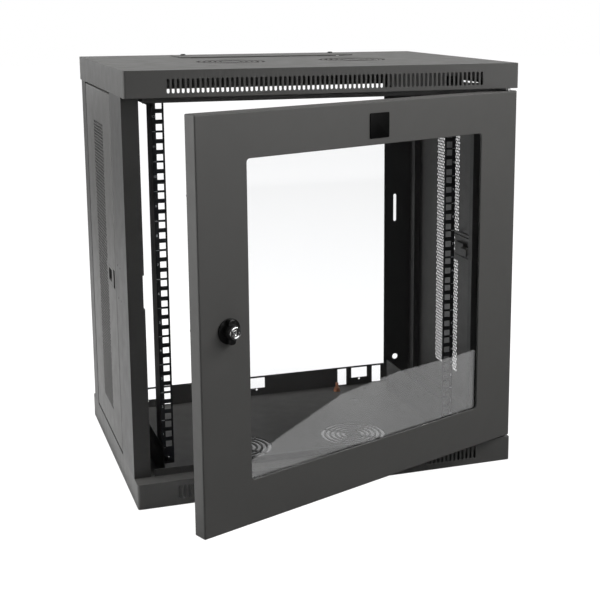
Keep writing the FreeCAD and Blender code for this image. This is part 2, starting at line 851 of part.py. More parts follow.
def make_panel():
    """Right-hand side panel: the perforated skin and its four folded edges."""
    fold = ("side - panel_fold", "side")
    y_span = ("panel_front", "panel_rear")
    z_span = ("panel_low", "panel_high")
    folds = [
        box("panel_front_fold", fold, ("panel_front", "panel_front + sheet_steel"), z_span),
        box("panel_rear_fold", fold, ("panel_rear - sheet_steel", "panel_rear"), z_span),
        box("panel_low_fold", fold, y_span, ("panel_low", "panel_low + sheet_steel")),
        box("panel_high_fold", fold, y_span, ("panel_high - sheet_steel", "panel_high")),
    ]
    return join("side_panel_right", [perforated_skin(), *folds], refine=False)


def make_latch():
    """Sliding latch of the right-hand panel, drawn at rest, released."""
    y_span = ("latch_y", "latch_y + latch_length - latch_clearance")
    rim = box(
        "latch_rim", ("latch_plate_inner", "side"), y_span,
        ("latch_low + latch_clearance", "latch_high - latch_clearance"))
    plate = box(
        "latch_plate", ("latch_plate_inner", "latch_plate_outer"),
        ("latch_y", "latch_y + latch_length + latch_tail"),
        ("latch_low - latch_margin", "latch_high + latch_margin"))
    half = "pocket_height / 2"
    dish = box(
        "latch_dish", ("pocket_floor - latch_steel", "side"),
        ("pocket_y - latch_steel", "pocket_y + pocket_length + latch_steel"),
        (f"latch_middle - {half} - latch_steel", f"latch_middle + {half} + latch_steel"))
    pull = box(
        "latch_pull", ("pocket_floor", "side + latch_steel"), ("pocket_y", "pocket_y + pocket_length"),
        (f"latch_middle - {half}", f"latch_middle + {half}"))
    level = ("latch_middle - tongue_height / 2", "latch_middle + tongue_height / 2")
    tongue = box(
        "latch_tongue", ("tongue_inner", "tongue_outer"),
        ("latch_y - tongue_reach", "latch_y + tongue_reach"), level)
    web = box(
        "latch_web", ("tongue_inner", "latch_plate_outer"), ("latch_y", "latch_y + tongue_reach"), level)
    return cut("side_latch_right", join("latch_blank", [rim, plate, dish, tongue, web]), [pull])


def make_guide():
    """Two Z-shaped strips behind the right-hand panel, above and below the latch."""
    y_span = ("latch_opening_y - latch_tail", "latch_opening_y - latch_tail + guide_length")
    web_low = "latch_high + latch_margin + latch_clearance"
    web = box(
        "guide_web", ("guide_overhang_inner", "panel_inner"), y_span, (web_low, f"{web_low} + sheet_steel"))
    foot = box(
        "guide_foot_strip", ("panel_inner - sheet_steel", "panel_inner"), y_span,
        (web_low, f"{web_low} + guide_foot"))
    overhang = box(
        "guide_overhang_strip", ("guide_overhang_inner", "guide_overhang_outer"), y_span,
        (f"{web_low} - guide_overhang", web_low))
    high = join("guide_high", [web, foot, overhang])
    low = mirror("guide_low", high, Vector(0, 0, 1), "latch_middle")
    return group("latch_guides_right", [high, low])


def make_side_panels():
    makers = {"side_panel": make_panel, "side_latch": make_latch, "latch_guides": make_guide}
    for name, maker in makers.items():
        right = node(maker(), name + "_right")
        node(mirror(name + "_left", right), name + "_left")


# ---------------------------------------------------------------- rack rails

def make_rail():
    """Right-hand rack rail: a face with three square holes to each unit, and a side flange."""
    body = new_body("rail_face_plate")
    outline = rectangle(("rail_inner", "rail_outer"), ("rail_low", "rail_high"))
    face_y = ("rail_front", "rail_front + sheet_steel")
    pad(body, "rail_face_pad", "XZ_Plane", [outline], *face_y)
    half = "rack_hole / 2"
    centre = "rack_hole_spacing / 2"
    squares = []
    for index in range(3):
        level = f"rack_base + rack_hole_first + {index} * rack_hole_step"
        squares.append(rectangle(
            (f"{centre} - {half}", f"{centre} + {half}"), (f"{level} - {half}", f"{level} + {half}")))
    unit = pocket(body, "rail_unit", "XZ_Plane", squares, *face_y)
    repeat(body, "rail_units", unit, "Z_Axis", "rack_unit", "rack_units")
    flange = box(
        "rail_flange", ("rail_outer - sheet_steel", "rail_outer"), ("rail_front", "rail_front + rail_side"),
        ("rail_low + rail_relief", "rail_high - rail_relief"))
    low_hole = cylinder(
        "rail_screw_hole", "y", "rail_screw_radius + screw_clearance",
        "rail_front - sheet_steel", "rail_front + 4 * sheet_steel", ("rail_screw_side", "rail_screw_end"))
    high_hole = mirror("rail_screw_hole_high", low_hole, Vector(0, 0, 1), "cabinet_height / 2")
    return cut("rack_rail_right", join("rail_blank", [body, flange]), [low_hole, high_hole]), low_hole


def make_bracket(screw_hole):
    """Lower right-hand rail bracket: an angle on the floor with a tab behind the rail's face."""
    y_span = ("front + bracket_front", "front + bracket_front + bracket_length")
    wall = ("rail_outer", "rail_outer + sheet_steel")
    foot = box(
        "bracket_foot_strip", ("rail_outer", "rail_outer + bracket_foot"), y_span,
        ("sheet_steel", "2 * sheet_steel"))
    upright = box("bracket_upright", wall, y_span, ("sheet_steel", "bracket_height"))
    tab = box(
        "bracket_tab_plate", ("rail_outer - bracket_tab + sheet_steel", "rail_outer + sheet_steel"),
        ("rail_front + sheet_steel", "rail_front + 2 * sheet_steel"), ("rail_end", "bracket_tab_end"))
    return cut("rail_bracket_low_right", join("bracket_blank", [foot, upright, tab]), [screw_hole])


def make_rail_fasteners():
    """Pan head screws and nuts at both ends of each rail."""
    centre = ("rail_screw_side", "rail_screw_end")
    head = cylinder(
        "rail_screw_head", "y", "rail_screw_head", "rail_front - rail_screw_rise", "rail_front", centre)
    shank = cylinder(
        "rail_screw_shank", "y", "rail_screw_radius", "rail_front", "rail_front + rail_screw_length", centre)
    nut_y = "rail_front + 2 * sheet_steel"
    nut_end = f"{nut_y} + rail_nut_height"
    blank = hexagon("rail_nut_blank", "y", "rail_nut", nut_y, nut_end, centre)
    bore = cylinder("rail_nut_bore", "y", "rail_screw_radius + pin_clearance", nut_y, nut_end, centre)
    for name, low_right in (
        ("rail_screws", join("rail_screw", [head, shank])),
        ("rail_nuts", cut("rail_nut_solid", blank, [bore])),
    ):
        high_right = mirror(name + "_high", low_right, Vector(0, 0, 1), "cabinet_height / 2")
        pair = [low_right, high_right]
        lefts = [mirror(f"{name}_left_{index}", item) for index, item in enumerate(pair)]
        node(group(name, pair + lefts), name)


def make_rack():
    rail, screw_hole = make_rail()
    node(rail, "rack_rail_right")
    node(mirror("rack_rail_left", rail), "rack_rail_left")
    low_right = node(make_bracket(screw_hole), "rail_bracket_low_right")
    high_right = mirror("rail_bracket_high_right", low_right, Vector(0, 0, 1), "cabinet_height / 2")
    node(high_right, "rail_bracket_high_right")
    node(mirror("rail_bracket_low_left", low_right), "rail_bracket_low_left")
    node(mirror("rail_bracket_high_left", high_right), "rail_bracket_high_left")
    make_rail_fasteners()


# ---------------------------------------------------------------- door

def make_door_frame():
    """Folded door pan with a rounded window that has a fold all round."""
    body = new_body("door_pan")
    outline = rectangle(("door_left", "door_right"), ("door_low", "door_high"))
    block = pad(body, "door_block", "XZ_Plane", [outline], "front", "door_back")
    across = Vector(0, 1, 0)
    rounded = round_edges(
        body, "door_edges", block, "door_corner",
        lambda edge: edge.BoundBox.YMax < value("front") + 1e-6 or runs_along(edge, across))
    rim = "door_lip"
    mouth = rectangle(
        (f"door_left + {rim}", f"door_right - {rim}"), (f"door_low + {rim}", f"door_high - {rim}"))
    pocket(body, "door_mouth", "XZ_Plane", [mouth], "door_back - sheet_steel", "door_back")
    inside = rectangle(
        ("door_left + sheet_steel", "door_right - sheet_steel"),
        ("door_low + sheet_steel", "door_high - sheet_steel"))
    pocket(body, "door_hollow", "XZ_Plane", [inside], "fold_end", "door_back - sheet_steel")
    island = rectangle(
        ("window_left - sheet_steel", "window_right + sheet_steel"),
        ("window_bottom - sheet_steel", "window_top + sheet_steel"))
    pocket(body, "door_trough", "XZ_Plane", [inside, island], "front + sheet_steel", "fold_end")
    window = rectangle(("window_left", "window_right"), ("window_bottom", "window_top"))
    opening = pocket(body, "door_opening", "XZ_Plane", [window], "front", "fold_end")
    half_width = value("window_right - window_left") / 2
    half_height = value("window_top - window_bottom") / 2
    middle = value("(window_top + window_bottom) / 2")

    def at_window_corner(edge):
        point = edge.BoundBox.Center
        corner = abs(abs(point.x) - half_width) < 0.1 and abs(abs(point.z - middle) - half_height) < 0.1
        return corner and runs_along(edge, across)

    round_edges(body, "window_corners", opening, "window_corner", at_window_corner)
    holes = []
    for name, low, high in (
        ("low", "door_low", "door_low + sheet_steel"),
        ("high", "door_high - sheet_steel", "door_high"),
    ):
        holes.append(cylinder(
            f"door_pin_hole_{name}", "z", "pin_radius + pin_clearance", low, high, ("hinge_x", "hinge_y")))
    holes.append(cylinder(
        "door_lock_hole", "y", "lock_barrel_radius + pin_clearance", "front", "front + sheet_steel",
        ("lock_x", "lock_level")))
    return cut("door_frame", body, holes)


def make_glazing():
    return box(
        "glazing_pane", ("window_left - glazing_lap", "window_right + glazing_lap"),
        ("fold_end", "glazing_back"),
        ("window_bottom - glazing_lap", "window_top + glazing_lap"))


def window_clip(name, edge, outward, centre, along):
    """A Z-shaped clip: a foot on the door's skin, a riser past the glazing and a finger over it."""
    edge = f"{edge} {outward} glazing_lap"
    skin = "front + sheet_steel"
    near = f"{edge} {outward} latch_clearance"
    inward = "-" if outward == "+" else "+"

    def ordered(first, second):
        return (first, second) if outward == "+" else (second, first)

    spans = {
        "foot": (ordered(near, f"{near} {outward} clip_foot"), (skin, f"{skin} + clip_steel")),
        "riser": (ordered(near, f"{near} {outward} clip_steel"), (skin, "glazing_back + clip_steel")),
        "finger": (
            ordered(f"{edge} {inward} clip_finger", f"{near} {outward} clip_steel"),
            ("glazing_back", "glazing_back + clip_steel")),
    }
    width = (f"{centre} - clip_width / 2", f"{centre} + clip_width / 2")
    pieces = []
    for part, (reach, depth) in spans.items():
        if along == "x":
            pieces.append(box(f"{name}_{part}", width, depth, reach))
        else:
            pieces.append(box(f"{name}_{part}", reach, depth, width))
    return join(name, pieces)


def make_clips():
    """Ten clips: three above and below the window, two at each side."""
    clips = []
    for index, step in enumerate(("-clip_spacing", "0", "clip_spacing")):
        clips.append(window_clip(f"clip_high_{index}", "window_top", "+", step, "x"))
        clips.append(window_clip(f"clip_low_{index}", "window_bottom", "-", step, "x"))
    middle = "(window_top + window_bottom) / 2"
    for index, step in enumerate(("- clip_rise / 2", "+ clip_rise / 2")):
        clips.append(window_clip(f"clip_right_{index}", "window_right", "+", f"{middle} {step}", "z"))
        clips.append(window_clip(f"clip_left_{index}", "window_left", "-", f"{middle} {step}", "z"))
    return group("window_clips", clips)


def make_badge():
    return box(
        "badge_blank", ("badge_centre - badge_width / 2", "badge_centre + badge_width / 2"),
        ("front - badge_thickness", "front"),
        ("badge_level - badge_height / 2", "badge_level + badge_height / 2"))


def make_bumpers():
    """Rubber bumpers on the back of the door's free edge."""
    bumpers = []
    for index in range(3):
        bumpers.append(cylinder(
            f"bumper_{index}", "y", "bumper_radius", "door_back", "column_front - bumper_clearance",
            ("door_left + bumper_inset", f"bumper_level + {index} * bumper_step")))
    return group("door_bumpers", bumpers)


def hinge_end(name, skin, sign):
    """Pin and bracket at one end of the door; sign points away from the door's middle."""
    back = "-" if sign == "+" else "+"

    def span(first, second):
        return (first, second) if sign == "+" else (second, first)

    centre = ("hinge_x", "hinge_y")
    tip = f"{skin} {sign} pin_reach"
    tail = f"{tip} {back} pin_length"
    pin = cylinder(f"pin_{name}_shank", "z", "pin_radius", *span(tail, tip), centre)
    head = cylinder(
        f"pin_{name}_head", "z", "pin_head", *span(f"{tail} {back} pin_head_height", tail), centre)
    wall = "door_right - sheet_steel"
    depth = ("hinge_y - hinge_arm_width / 2", "hinge_y + hinge_arm_width / 2")
    plate_end = f"{tail} {sign} sheet_steel"
    arm = box(f"hinge_{name}_arm", (f"{wall} - hinge_arm", wall), depth, span(tail, plate_end))
    foot = box(
        f"hinge_{name}_foot", (f"{wall} - sheet_steel", wall), depth, span(tail, f"{tail} {sign} hinge_foot"))
    bore = cylinder(
        f"hinge_{name}_bore", "z", "pin_radius + pin_clearance", *span(tail, plate_end), centre)
    bracket = cut(f"hinge_bracket_{name}", join(f"hinge_{name}_angle", [arm, foot]), [bore])
    return join(f"hinge_pin_{name}", [pin, head]), bracket


def make_hinges():
    for name, skin, sign in (("high", "high_rim", "+"), ("low", "low_rim", "-")):
        pin, bracket = hinge_end(name, skin, sign)
        node(swing(pin), f"hinge_pin_{name}")
        node(swing(bracket), f"hinge_bracket_{name}")
    centre = ("hinge_x", "hinge_y")
    disc = cylinder("hinge_washer_disc", "z", "washer_radius", "low_rim", "door_low", centre)
    bore = cylinder("hinge_washer_bore", "z", "pin_radius + pin_clearance", "low_rim", "door_low", centre)
    node(cut("hinge_washer", disc, [bore]), "hinge_washer")


# ---------------------------------------------------------------- lock

def make_lock():
    """Cam lock: flanged barrel and nut, winged knob with its spindle, key plug, cam and screw."""
    centre = ("lock_x", "lock_level")

    def disc(name, radius, low, high):
        return cylinder(name, "y", radius, low, high, centre)

    barrel_end = "front + lock_barrel"
    flange = disc("lock_flange_disc", "lock_flange_radius", "front - lock_flange", "front")
    barrel = disc("lock_barrel_tube", "lock_barrel_radius", "front", barrel_end)
    bore = disc("lock_bore", "spindle_radius + pin_clearance", "front - lock_flange", barrel_end)
    lock_body = cut("lock_body", join("lock_body_blank", [flange, barrel]), [bore])

    nut_span = ("front + sheet_steel", "front + sheet_steel + lock_nut_height")
    nut_blank = hexagon("lock_nut_blank", "y", "lock_nut_radius", *nut_span, centre)
    nut_bore = disc("lock_nut_bore", "lock_barrel_radius + pin_clearance", *nut_span)
    lock_nut = cut("lock_nut", nut_blank, [nut_bore])

    hub = disc("knob_hub", "knob_hub_radius", "knob_front", "knob_back")
    wing = box(
        "knob_wing", ("lock_x - wing_width / 2", "lock_x + wing_width / 2"),
        ("knob_back - wing_rise", "knob_back"),
        ("lock_level - wing_height / 2", "lock_level + wing_height / 2"))
    spindle = disc("knob_spindle", "spindle_radius", "knob_back", "spindle_end")
    plug_bore = disc("plug_bore", "plug_radius + pin_clearance", "knob_front", "knob_front + plug_depth")
    screw_end = "spindle_end - cam_screw_length + cam_thickness"
    screw_bore = disc("cam_screw_bore", "cam_screw_radius + pin_clearance", screw_end, "spindle_end")
    knob = cut("lock_knob", join("knob_blank", [hub, wing, spindle]), [plug_bore, screw_bore])

    ring = disc("plug_ring_disc", "plug_ring_radius", "knob_front - plug_ring", "knob_front")
    plug = disc("plug_core", "plug_radius", "knob_front", "knob_front + plug_depth - knob_gap")
    key_slot = box(
        "key_slot", ("lock_x - key_slot_width / 2", "lock_x + key_slot_width / 2"),
        ("knob_front - plug_ring", "knob_front - plug_ring + key_slot_depth"),
        ("lock_level - key_slot_height / 2", "lock_level + key_slot_height / 2"))
    lock_cylinder = cut("lock_cylinder", join("lock_cylinder_blank", [ring, plug]), [key_slot])

    cam_span = ("spindle_end", "spindle_end + cam_thickness")
    cam_plate = box(
        "cam_plate", ("lock_x - cam_width / 2", "lock_x + cam_width / 2"), cam_span,
        ("lock_level - cam_heel", "lock_level + cam_reach"))
    cam_bore = disc("cam_bore", "cam_screw_radius + pin_clearance", *cam_span)
    cam = cut("lock_cam", cam_plate, [cam_bore])

    cam_back = "spindle_end + cam_thickness"
    screw_head = disc("cam_screw_head", "cam_screw_head", cam_back, f"{cam_back} + cam_screw_rise")
    screw_shank = disc("cam_screw_shank", "cam_screw_radius", screw_end, cam_back)
    screw = join("cam_screw", [screw_head, screw_shank])
    return {
        "lock_body": lock_body,
        "lock_nut": lock_nut,
        "lock_knob": knob,
        "lock_cylinder": lock_cylinder,
        "lock_cam": cam,
        "lock_cam_screw": screw,
    }


def make_door():
    pieces = {
        "door_frame": make_door_frame(),
        "door_window": group("door_window", [make_glazing()]),
        "window_clips": make_clips(),
        "badge_plate": group("badge_plate", [make_badge()]),
        "door_bumpers": make_bumpers(),
    }
    pieces.update(make_lock())
    for name, item in pieces.items():
        node(swing(item), name)
    make_hinges()


# ---------------------------------------------------------------- build, test and export

def check_document():
    """Stops on a failed object, an empty or invalid sub-part, or a pocket that cuts nothing."""
    for item in doc.Objects:
        if "Invalid" in item.State or "Error" in item.State:
            raise RuntimeError(f"{item.Name} failed: {item.State}")
        if item.TypeId == "PartDesign::Pocket" and item.Shape.Volume >= item.BaseFeature.Shape.Volume - 1e-3:
            raise RuntimeError(f"{item.Name} cuts nothing")
    for item in NODES:
        if item.Shape.isNull() or not item.Shape.isValid():
            raise RuntimeError(f"{item.Label} has no valid shape")


def export_nodes():
    os.makedirs("parts", exist_ok=True)
    for item in NODES:
        item.Shape.exportStep(f"parts/{item.Label}.step")
        print(f"{item.Label}: {len(item.Shape.Solids)} solid(s), {item.Shape.Volume / 1000:.1f} cm3")


make_covers()
make_columns()
make_cross_members()
make_side_panels()
make_rack()
make_door()
doc.recompute()
check_document()
export_nodes()
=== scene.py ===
"""Looks of the wall mount network cabinet: finishes, small details, light and camera, in metres."""

import json
import math

import bmesh
import bpy
from mathutils import Matrix, Vector
from mathutils.geometry import delaunay_2d_cdt


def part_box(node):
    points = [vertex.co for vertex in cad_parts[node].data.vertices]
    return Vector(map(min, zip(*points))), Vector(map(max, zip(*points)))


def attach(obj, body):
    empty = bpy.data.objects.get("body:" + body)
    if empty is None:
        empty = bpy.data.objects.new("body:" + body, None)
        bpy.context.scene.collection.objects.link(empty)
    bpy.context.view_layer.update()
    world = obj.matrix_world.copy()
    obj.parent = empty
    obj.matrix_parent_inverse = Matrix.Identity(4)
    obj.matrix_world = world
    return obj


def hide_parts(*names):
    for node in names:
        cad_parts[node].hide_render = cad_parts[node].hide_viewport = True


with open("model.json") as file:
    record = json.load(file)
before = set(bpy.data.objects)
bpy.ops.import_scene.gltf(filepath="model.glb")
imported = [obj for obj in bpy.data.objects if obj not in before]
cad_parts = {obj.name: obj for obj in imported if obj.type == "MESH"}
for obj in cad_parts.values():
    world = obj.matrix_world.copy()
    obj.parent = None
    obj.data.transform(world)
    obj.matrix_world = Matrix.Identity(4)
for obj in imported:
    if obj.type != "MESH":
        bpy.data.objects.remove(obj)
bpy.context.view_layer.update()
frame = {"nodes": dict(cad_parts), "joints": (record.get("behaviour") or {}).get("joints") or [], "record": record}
NODES = frame["nodes"]
RECORD = frame["record"]
JOINTS = {joint["name"]: joint for joint in frame["joints"]}
SLOT_OF = {part["node"]: part["material_slot"] for part in RECORD["subparts"]}
MM = 0.001

# The door stands open at rest; its own pieces are built shut and then swung about the hinge.
HINGE = Vector(JOINTS["door_hinge"]["pos_m"])
OPEN_ANGLE = math.radians(-JOINTS["door_hinge"]["range_deg"][0])
SWING = Matrix.Translation(HINGE) @ Matrix.Rotation(OPEN_ANGLE, 4, "Z") @ Matrix.Translation(-HINGE)
LOCK_AXIS = SWING.inverted() @ Vector(JOINTS["lock_turn"]["pos_m"])


# ---------------------------------------------------------------- materials

def material(name):
    """An empty material with its node tree, its shader and a function that adds nodes."""
    made = bpy.data.materials.new(name)
    made.use_nodes = True
    tree = made.node_tree
    shader = tree.nodes["Principled BSDF"]

    def add(kind, **settings):
        added = tree.nodes.new(kind)
        for key, setting in settings.items():
            if key in added.inputs:
                added.inputs[key].default_value = setting
            else:
                setattr(added, key, setting)
        return added

    return made, tree.links.new, shader, add


def noise(add, link, coordinates, scale, detail=2.0):
    """Noise laid on the object's own coordinates."""
    texture = add("ShaderNodeTexNoise", Scale=scale, Detail=detail)
    link(coordinates.outputs["Object"], texture.inputs["Vector"])
    return texture.outputs["Fac"]


def spread(add, link, source, low, high):
    """Maps a noise value onto a range."""
    ramp = add("ShaderNodeMapRange")
    ramp.inputs["From Min"].default_value = 0.3
    ramp.inputs["From Max"].default_value = 0.7
    ramp.inputs["To Min"].default_value = low
    ramp.inputs["To Max"].default_value = high
    link(source, ramp.inputs["Value"])
    return ramp.outputs["Result"]


def relief(add, link, shader, coordinates, edge, strength, depth, scale, detail):
    """Softly rounds the edges in the shading and lays a fine grain over the surface."""
    bevel = add("ShaderNodeBevel", Radius=edge, samples=6)
    bump = add("ShaderNodeBump", Strength=strength, Distance=depth)
    link(noise(add, link, coordinates, scale, detail), bump.inputs["Height"])
    link(bevel.outputs["Normal"], bump.inputs["Normal"])
    link(bump.outputs["Normal"], shader.inputs["Normal"])


def powder_coat(name, colour, roughness=0.48, grain=0.05, edge=0.8 * MM):
    """Baked powder coat: orange-peel grain, faint cloudiness and softly rounded folds."""
    made, link, shader, add = material(name)
    coordinates = add("ShaderNodeTexCoord")
    clouds = noise(add, link, coordinates, 7.0, 3.0)
    speckle = noise(add, link, coordinates, 900.0, 2.0)
    tint = add("ShaderNodeMix", data_type="RGBA")
    tint.inputs["A"].default_value = (*[channel * 0.9 for channel in colour], 1)
    tint.inputs["B"].default_value = (*[channel * 1.12 for channel in colour], 1)
    blend = add("ShaderNodeMath", operation="MULTIPLY_ADD")
    link(clouds, blend.inputs[0])
    blend.inputs[1].default_value = 0.6
    link(spread(add, link, speckle, 0.0, 0.4), blend.inputs[2])
    link(blend.outputs["Value"], tint.inputs["Factor"])
    link(tint.outputs["Result"], shader.inputs["Base Color"])
    gloss = noise(add, link, coordinates, 40.0, 4.0)
    link(spread(add, link, gloss, roughness - 0.03, roughness + 0.05), shader.inputs["Roughness"])
    relief(add, link, shader, coordinates, edge, grain, 0.15 * MM, 1300.0, 3.0)
    return made


def plated(name, colour, roughness, brushed=0.0):
    """Plated metal, with fine scratches if brushed."""
    made, link, shader, add = material(name)
    coordinates = add("ShaderNodeTexCoord")
    shader.inputs["Base Color"].default_value = (*colour, 1)
    shader.inputs["Metallic"].default_value = 1.0
    marks = noise(add, link, coordinates, 250.0, 4.0)
    link(spread(add, link, marks, roughness * 0.8, roughness * 1.25), shader.inputs["Roughness"])
    relief(add, link, shader, coordinates, 0.3 * MM, brushed, 0.05 * MM, 2200.0, 2.0)
    return made


def moulded(name, colour, roughness, grain=0.05, edge=0.4 * MM, specular=0.5):
    """Moulded plastic or rubber with a fine skin."""
    made, link, shader, add = material(name)
    coordinates = add("ShaderNodeTexCoord")
    shader.inputs["Base Color"].default_value = (*colour, 1)
    shader.inputs["Specular IOR Level"].default_value = specular
    marks = noise(add, link, coordinates, 120.0, 3.0)
    link(spread(add, link, marks, roughness * 0.85, roughness * 1.2), shader.inputs["Roughness"])
    relief(add, link, shader, coordinates, edge, grain, 0.1 * MM, 900.0, 2.0)
    return made


def clear_sheet(name):
    """Clear acrylic, perfectly smooth, whose faint grey tint drifts a little across the sheet."""
    made, link, shader, add = material(name)
    coordinates = add("ShaderNodeTexCoord")
    tint = add("ShaderNodeMix", data_type="RGBA")
    tint.inputs["A"].default_value = (0.95, 0.955, 0.962, 1)
    tint.inputs["B"].default_value = (0.96, 0.965, 0.968, 1)
    link(noise(add, link, coordinates, 6.0), tint.inputs["Factor"])
    link(tint.outputs["Result"], shader.inputs["Base Color"])
    shader.inputs["Transmission Weight"].default_value = 1.0
    shader.inputs["IOR"].default_value = 1.49
    shader.inputs["Roughness"].default_value = 0.0
    return made


def printed(name, colour):
    """Screen-printed ink."""
    made, link, shader, add = material(name)
    coordinates = add("ShaderNodeTexCoord")
    shader.inputs["Base Color"].default_value = (*colour, 1)
    wear = noise(add, link, coordinates, 600.0, 3.0)
    link(spread(add, link, wear, 0.45, 0.65), shader.inputs["Roughness"])
    return made


FINISH = {
    "cover_coat": powder_coat("cover_coat", (0.050, 0.049, 0.047)),
    # Same powder coat as the covers, drawn darker: painted shade on the frame's columns inside the cabinet.
    "frame_coat": powder_coat("frame_coat", (0.028, 0.0275, 0.0265)),
    "panel_coat": powder_coat("panel_coat", (0.045, 0.044, 0.042)),
    "rail_coat": powder_coat("rail_coat", (0.006, 0.007, 0.009), roughness=0.33, grain=0.03),
    "door_coat": powder_coat("door_coat", (0.042, 0.0412, 0.0395), edge=1.5 * MM),
    "black_screw": moulded("black_screw", (0.012, 0.012, 0.012), 0.28, edge=0.2 * MM),
    "zinc_steel": plated("zinc_steel", (0.62, 0.62, 0.61), 0.3, brushed=0.1),
    "brass": plated("brass", (0.72, 0.36, 0.22), 0.32, brushed=0.1),
    "acrylic": clear_sheet("acrylic"),
    "badge_black": moulded("badge_black", (0.002, 0.002, 0.002), 0.35, grain=0.0, specular=0.04),
    "rubber": moulded("rubber", (0.018, 0.018, 0.018), 0.7, grain=0.2),
    "lock_black": moulded("lock_black", (0.006, 0.006, 0.006), 0.22),
    "lock_chrome": plated("lock_chrome", (0.8, 0.8, 0.8), 0.08),
    "nylon": moulded("nylon", (0.03, 0.03, 0.03), 0.45),
    "print_white": printed("print_white", (0.62, 0.63, 0.65)),
}


def paint(piece, finish):
    """Gives a piece one material in place of any other."""
    piece.data.materials.clear()
    piece.data.materials.append(finish)


for node_name, cad_node in NODES.items():
    paint(cad_node, FINISH[SLOT_OF[node_name]])


# ---------------------------------------------------------------- mesh helpers

MERGE_DISTANCE = 1e-7


def link_object(name, data):
    """A new object in the scene."""
    made = bpy.data.objects.new(name, data)
    bpy.context.scene.collection.objects.link(made)
    return made


def shade(mesh, degrees=35.0):
    """Smooth shading, with sharp edges where faces turn by more than an angle."""
    mesh.shade_smooth()
    mesh.set_sharp_from_angle(angle=math.radians(degrees))


def mesh_piece(name, points, faces, degrees=35.0):
    """An object from points and faces, with doubles merged and normals outward."""
    mesh = bpy.data.meshes.new(name)
    mesh.from_pydata([tuple(point) for point in points], [], faces)
    mesh.validate()
    made = link_object(name, mesh)
    cleaned = bmesh.new()
    cleaned.from_mesh(mesh)
    bmesh.ops.remove_doubles(cleaned, verts=cleaned.verts, dist=MERGE_DISTANCE)
    bmesh.ops.recalc_face_normals(cleaned, faces=cleaned.faces)
    cleaned.to_mesh(mesh)
    cleaned.free()
    shade(mesh, degrees)
    return made


def place(piece, body, slot, replaced=()):
    """Finishes a piece: its paint, the CAD body that it rides on and the nodes that it stands for."""
    if not piece.data.materials:
        paint(piece, FINISH[slot])
    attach(piece, body)
    if replaced:
        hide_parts(*replaced)
    return piece


def bevelled(piece, width, segments=3):
    """Rounds the sharp edges of a piece for good."""
    rounding = piece.modifiers.new("rounding", "BEVEL")
    rounding.width = width
    rounding.segments = segments
    rounding.limit_method = "ANGLE"
    rounding.angle_limit = math.radians(30)
    bake_modifiers(piece)
    shade(piece.data)
    return piece


def bake_modifiers(piece):
    """Turns a piece's modifiers into plain mesh."""
    bpy.context.view_layer.update()
    evaluated = piece.evaluated_get(bpy.context.evaluated_depsgraph_get())
    final = bpy.data.meshes.new_from_object(evaluated)
    piece.modifiers.clear()
    piece.data = final


def lathe(name, profile, matrix, steps=48):
    """A solid of revolution: profile is (radius, height) pairs, turned about local Z."""
    points = []
    faces = []
    for radius, height in profile:
        for step in range(steps):
            angle = 2 * math.pi * step / steps
            points.append(matrix @ Vector((radius * math.cos(angle), radius * math.sin(angle), height)))
    for ring in range(len(profile) - 1):
        for step in range(steps):
            low = ring * steps
            following = (step + 1) % steps
            faces.append((low + step, low + following, low + steps + following, low + steps + step))
    if profile[0][0] > 0:
        faces.append(tuple(range(steps))[::-1])
    if profile[-1][0] > 0:
        last = (len(profile) - 1) * steps
        faces.append(tuple(range(last, last + steps)))
    return mesh_piece(name, points, faces)


# ---------------------------------------------------------------- perforated side panels

# The sheet is drawn thinner than in the CAD, so that light comes through its finer holes.
SKIN = 0.9 * MM
PANEL_BEND = 2.4 * MM
BEND_STEPS = 4
PERFORATION = {
    "front": -13.0, "depth": 90.0, "low": 88.0, "height": 456.0,
    "pitch": 5.8, "radius": 2.4, "margin": 1.0,
}
LATCH_OPENING = {"front": -82.5, "rear": -11.0, "low": 298.0, "high": 327.0}
HOLE_SIDES = 12


def perforation_centres():
    """Staggered hole centres (y, z) in metres, clear of the latch opening."""
    pitch = PERFORATION["pitch"]
    row_step = pitch * math.sqrt(3) / 2
    clear = PERFORATION["radius"] + PERFORATION["margin"]
    centres = []
    for row in range(int(PERFORATION["height"] / row_step) + 1):
        shift = pitch / 2 if row % 2 else 0.0
        for column in range(int((PERFORATION["depth"] - shift) / pitch) + 1):
            y = PERFORATION["front"] + shift + column * pitch
            z = PERFORATION["low"] + row * row_step
            beside_latch = LATCH_OPENING["low"] - clear < z < LATCH_OPENING["high"] + clear
            if not (beside_latch and y < LATCH_OPENING["rear"] + clear):
                centres.append((y * MM, z * MM))
    return centres


def loop_edges(first, count):
    """The edges of a closed loop of points, numbered from first."""
    return [(first + index, first + (index + 1) % count) for index in range(count)]


def pierced_plate(outline, holes):
    """Triangles of a flat outline with holes, as (points, faces); loops are lists of 2-D points."""
    points = []
    edges = []
    loops = []
    for loop in (outline, *holes):
        edges += loop_edges(len(points), len(loop))
        loops.append(list(range(len(points), len(points) + len(loop))))
        points += [Vector(point) for point in loop]
    flat, _, faces, _, _, origins = delaunay_2d_cdt(points, edges, loops, 0, MERGE_DISTANCE)
    kept = [face for face, origin in zip(faces, origins) if origin == [0]]
    return flat, kept


def panel_holes():
    """Outlines (y, z) of every round hole and of the latch opening."""
    radius = PERFORATION["radius"] * MM
    angles = [2 * math.pi * step / HOLE_SIDES for step in range(HOLE_SIDES)]
    holes = []
    for y, z in perforation_centres():
        holes.append([(y + radius * math.cos(angle), z + radius * math.sin(angle)) for angle in angles])
    front, rear = LATCH_OPENING["front"] * MM, LATCH_OPENING["rear"] * MM
    foot, head = LATCH_OPENING["low"] * MM, LATCH_OPENING["high"] * MM
    holes.append([(front, foot), (rear, foot), (rear, head), (front, head)])
    return holes


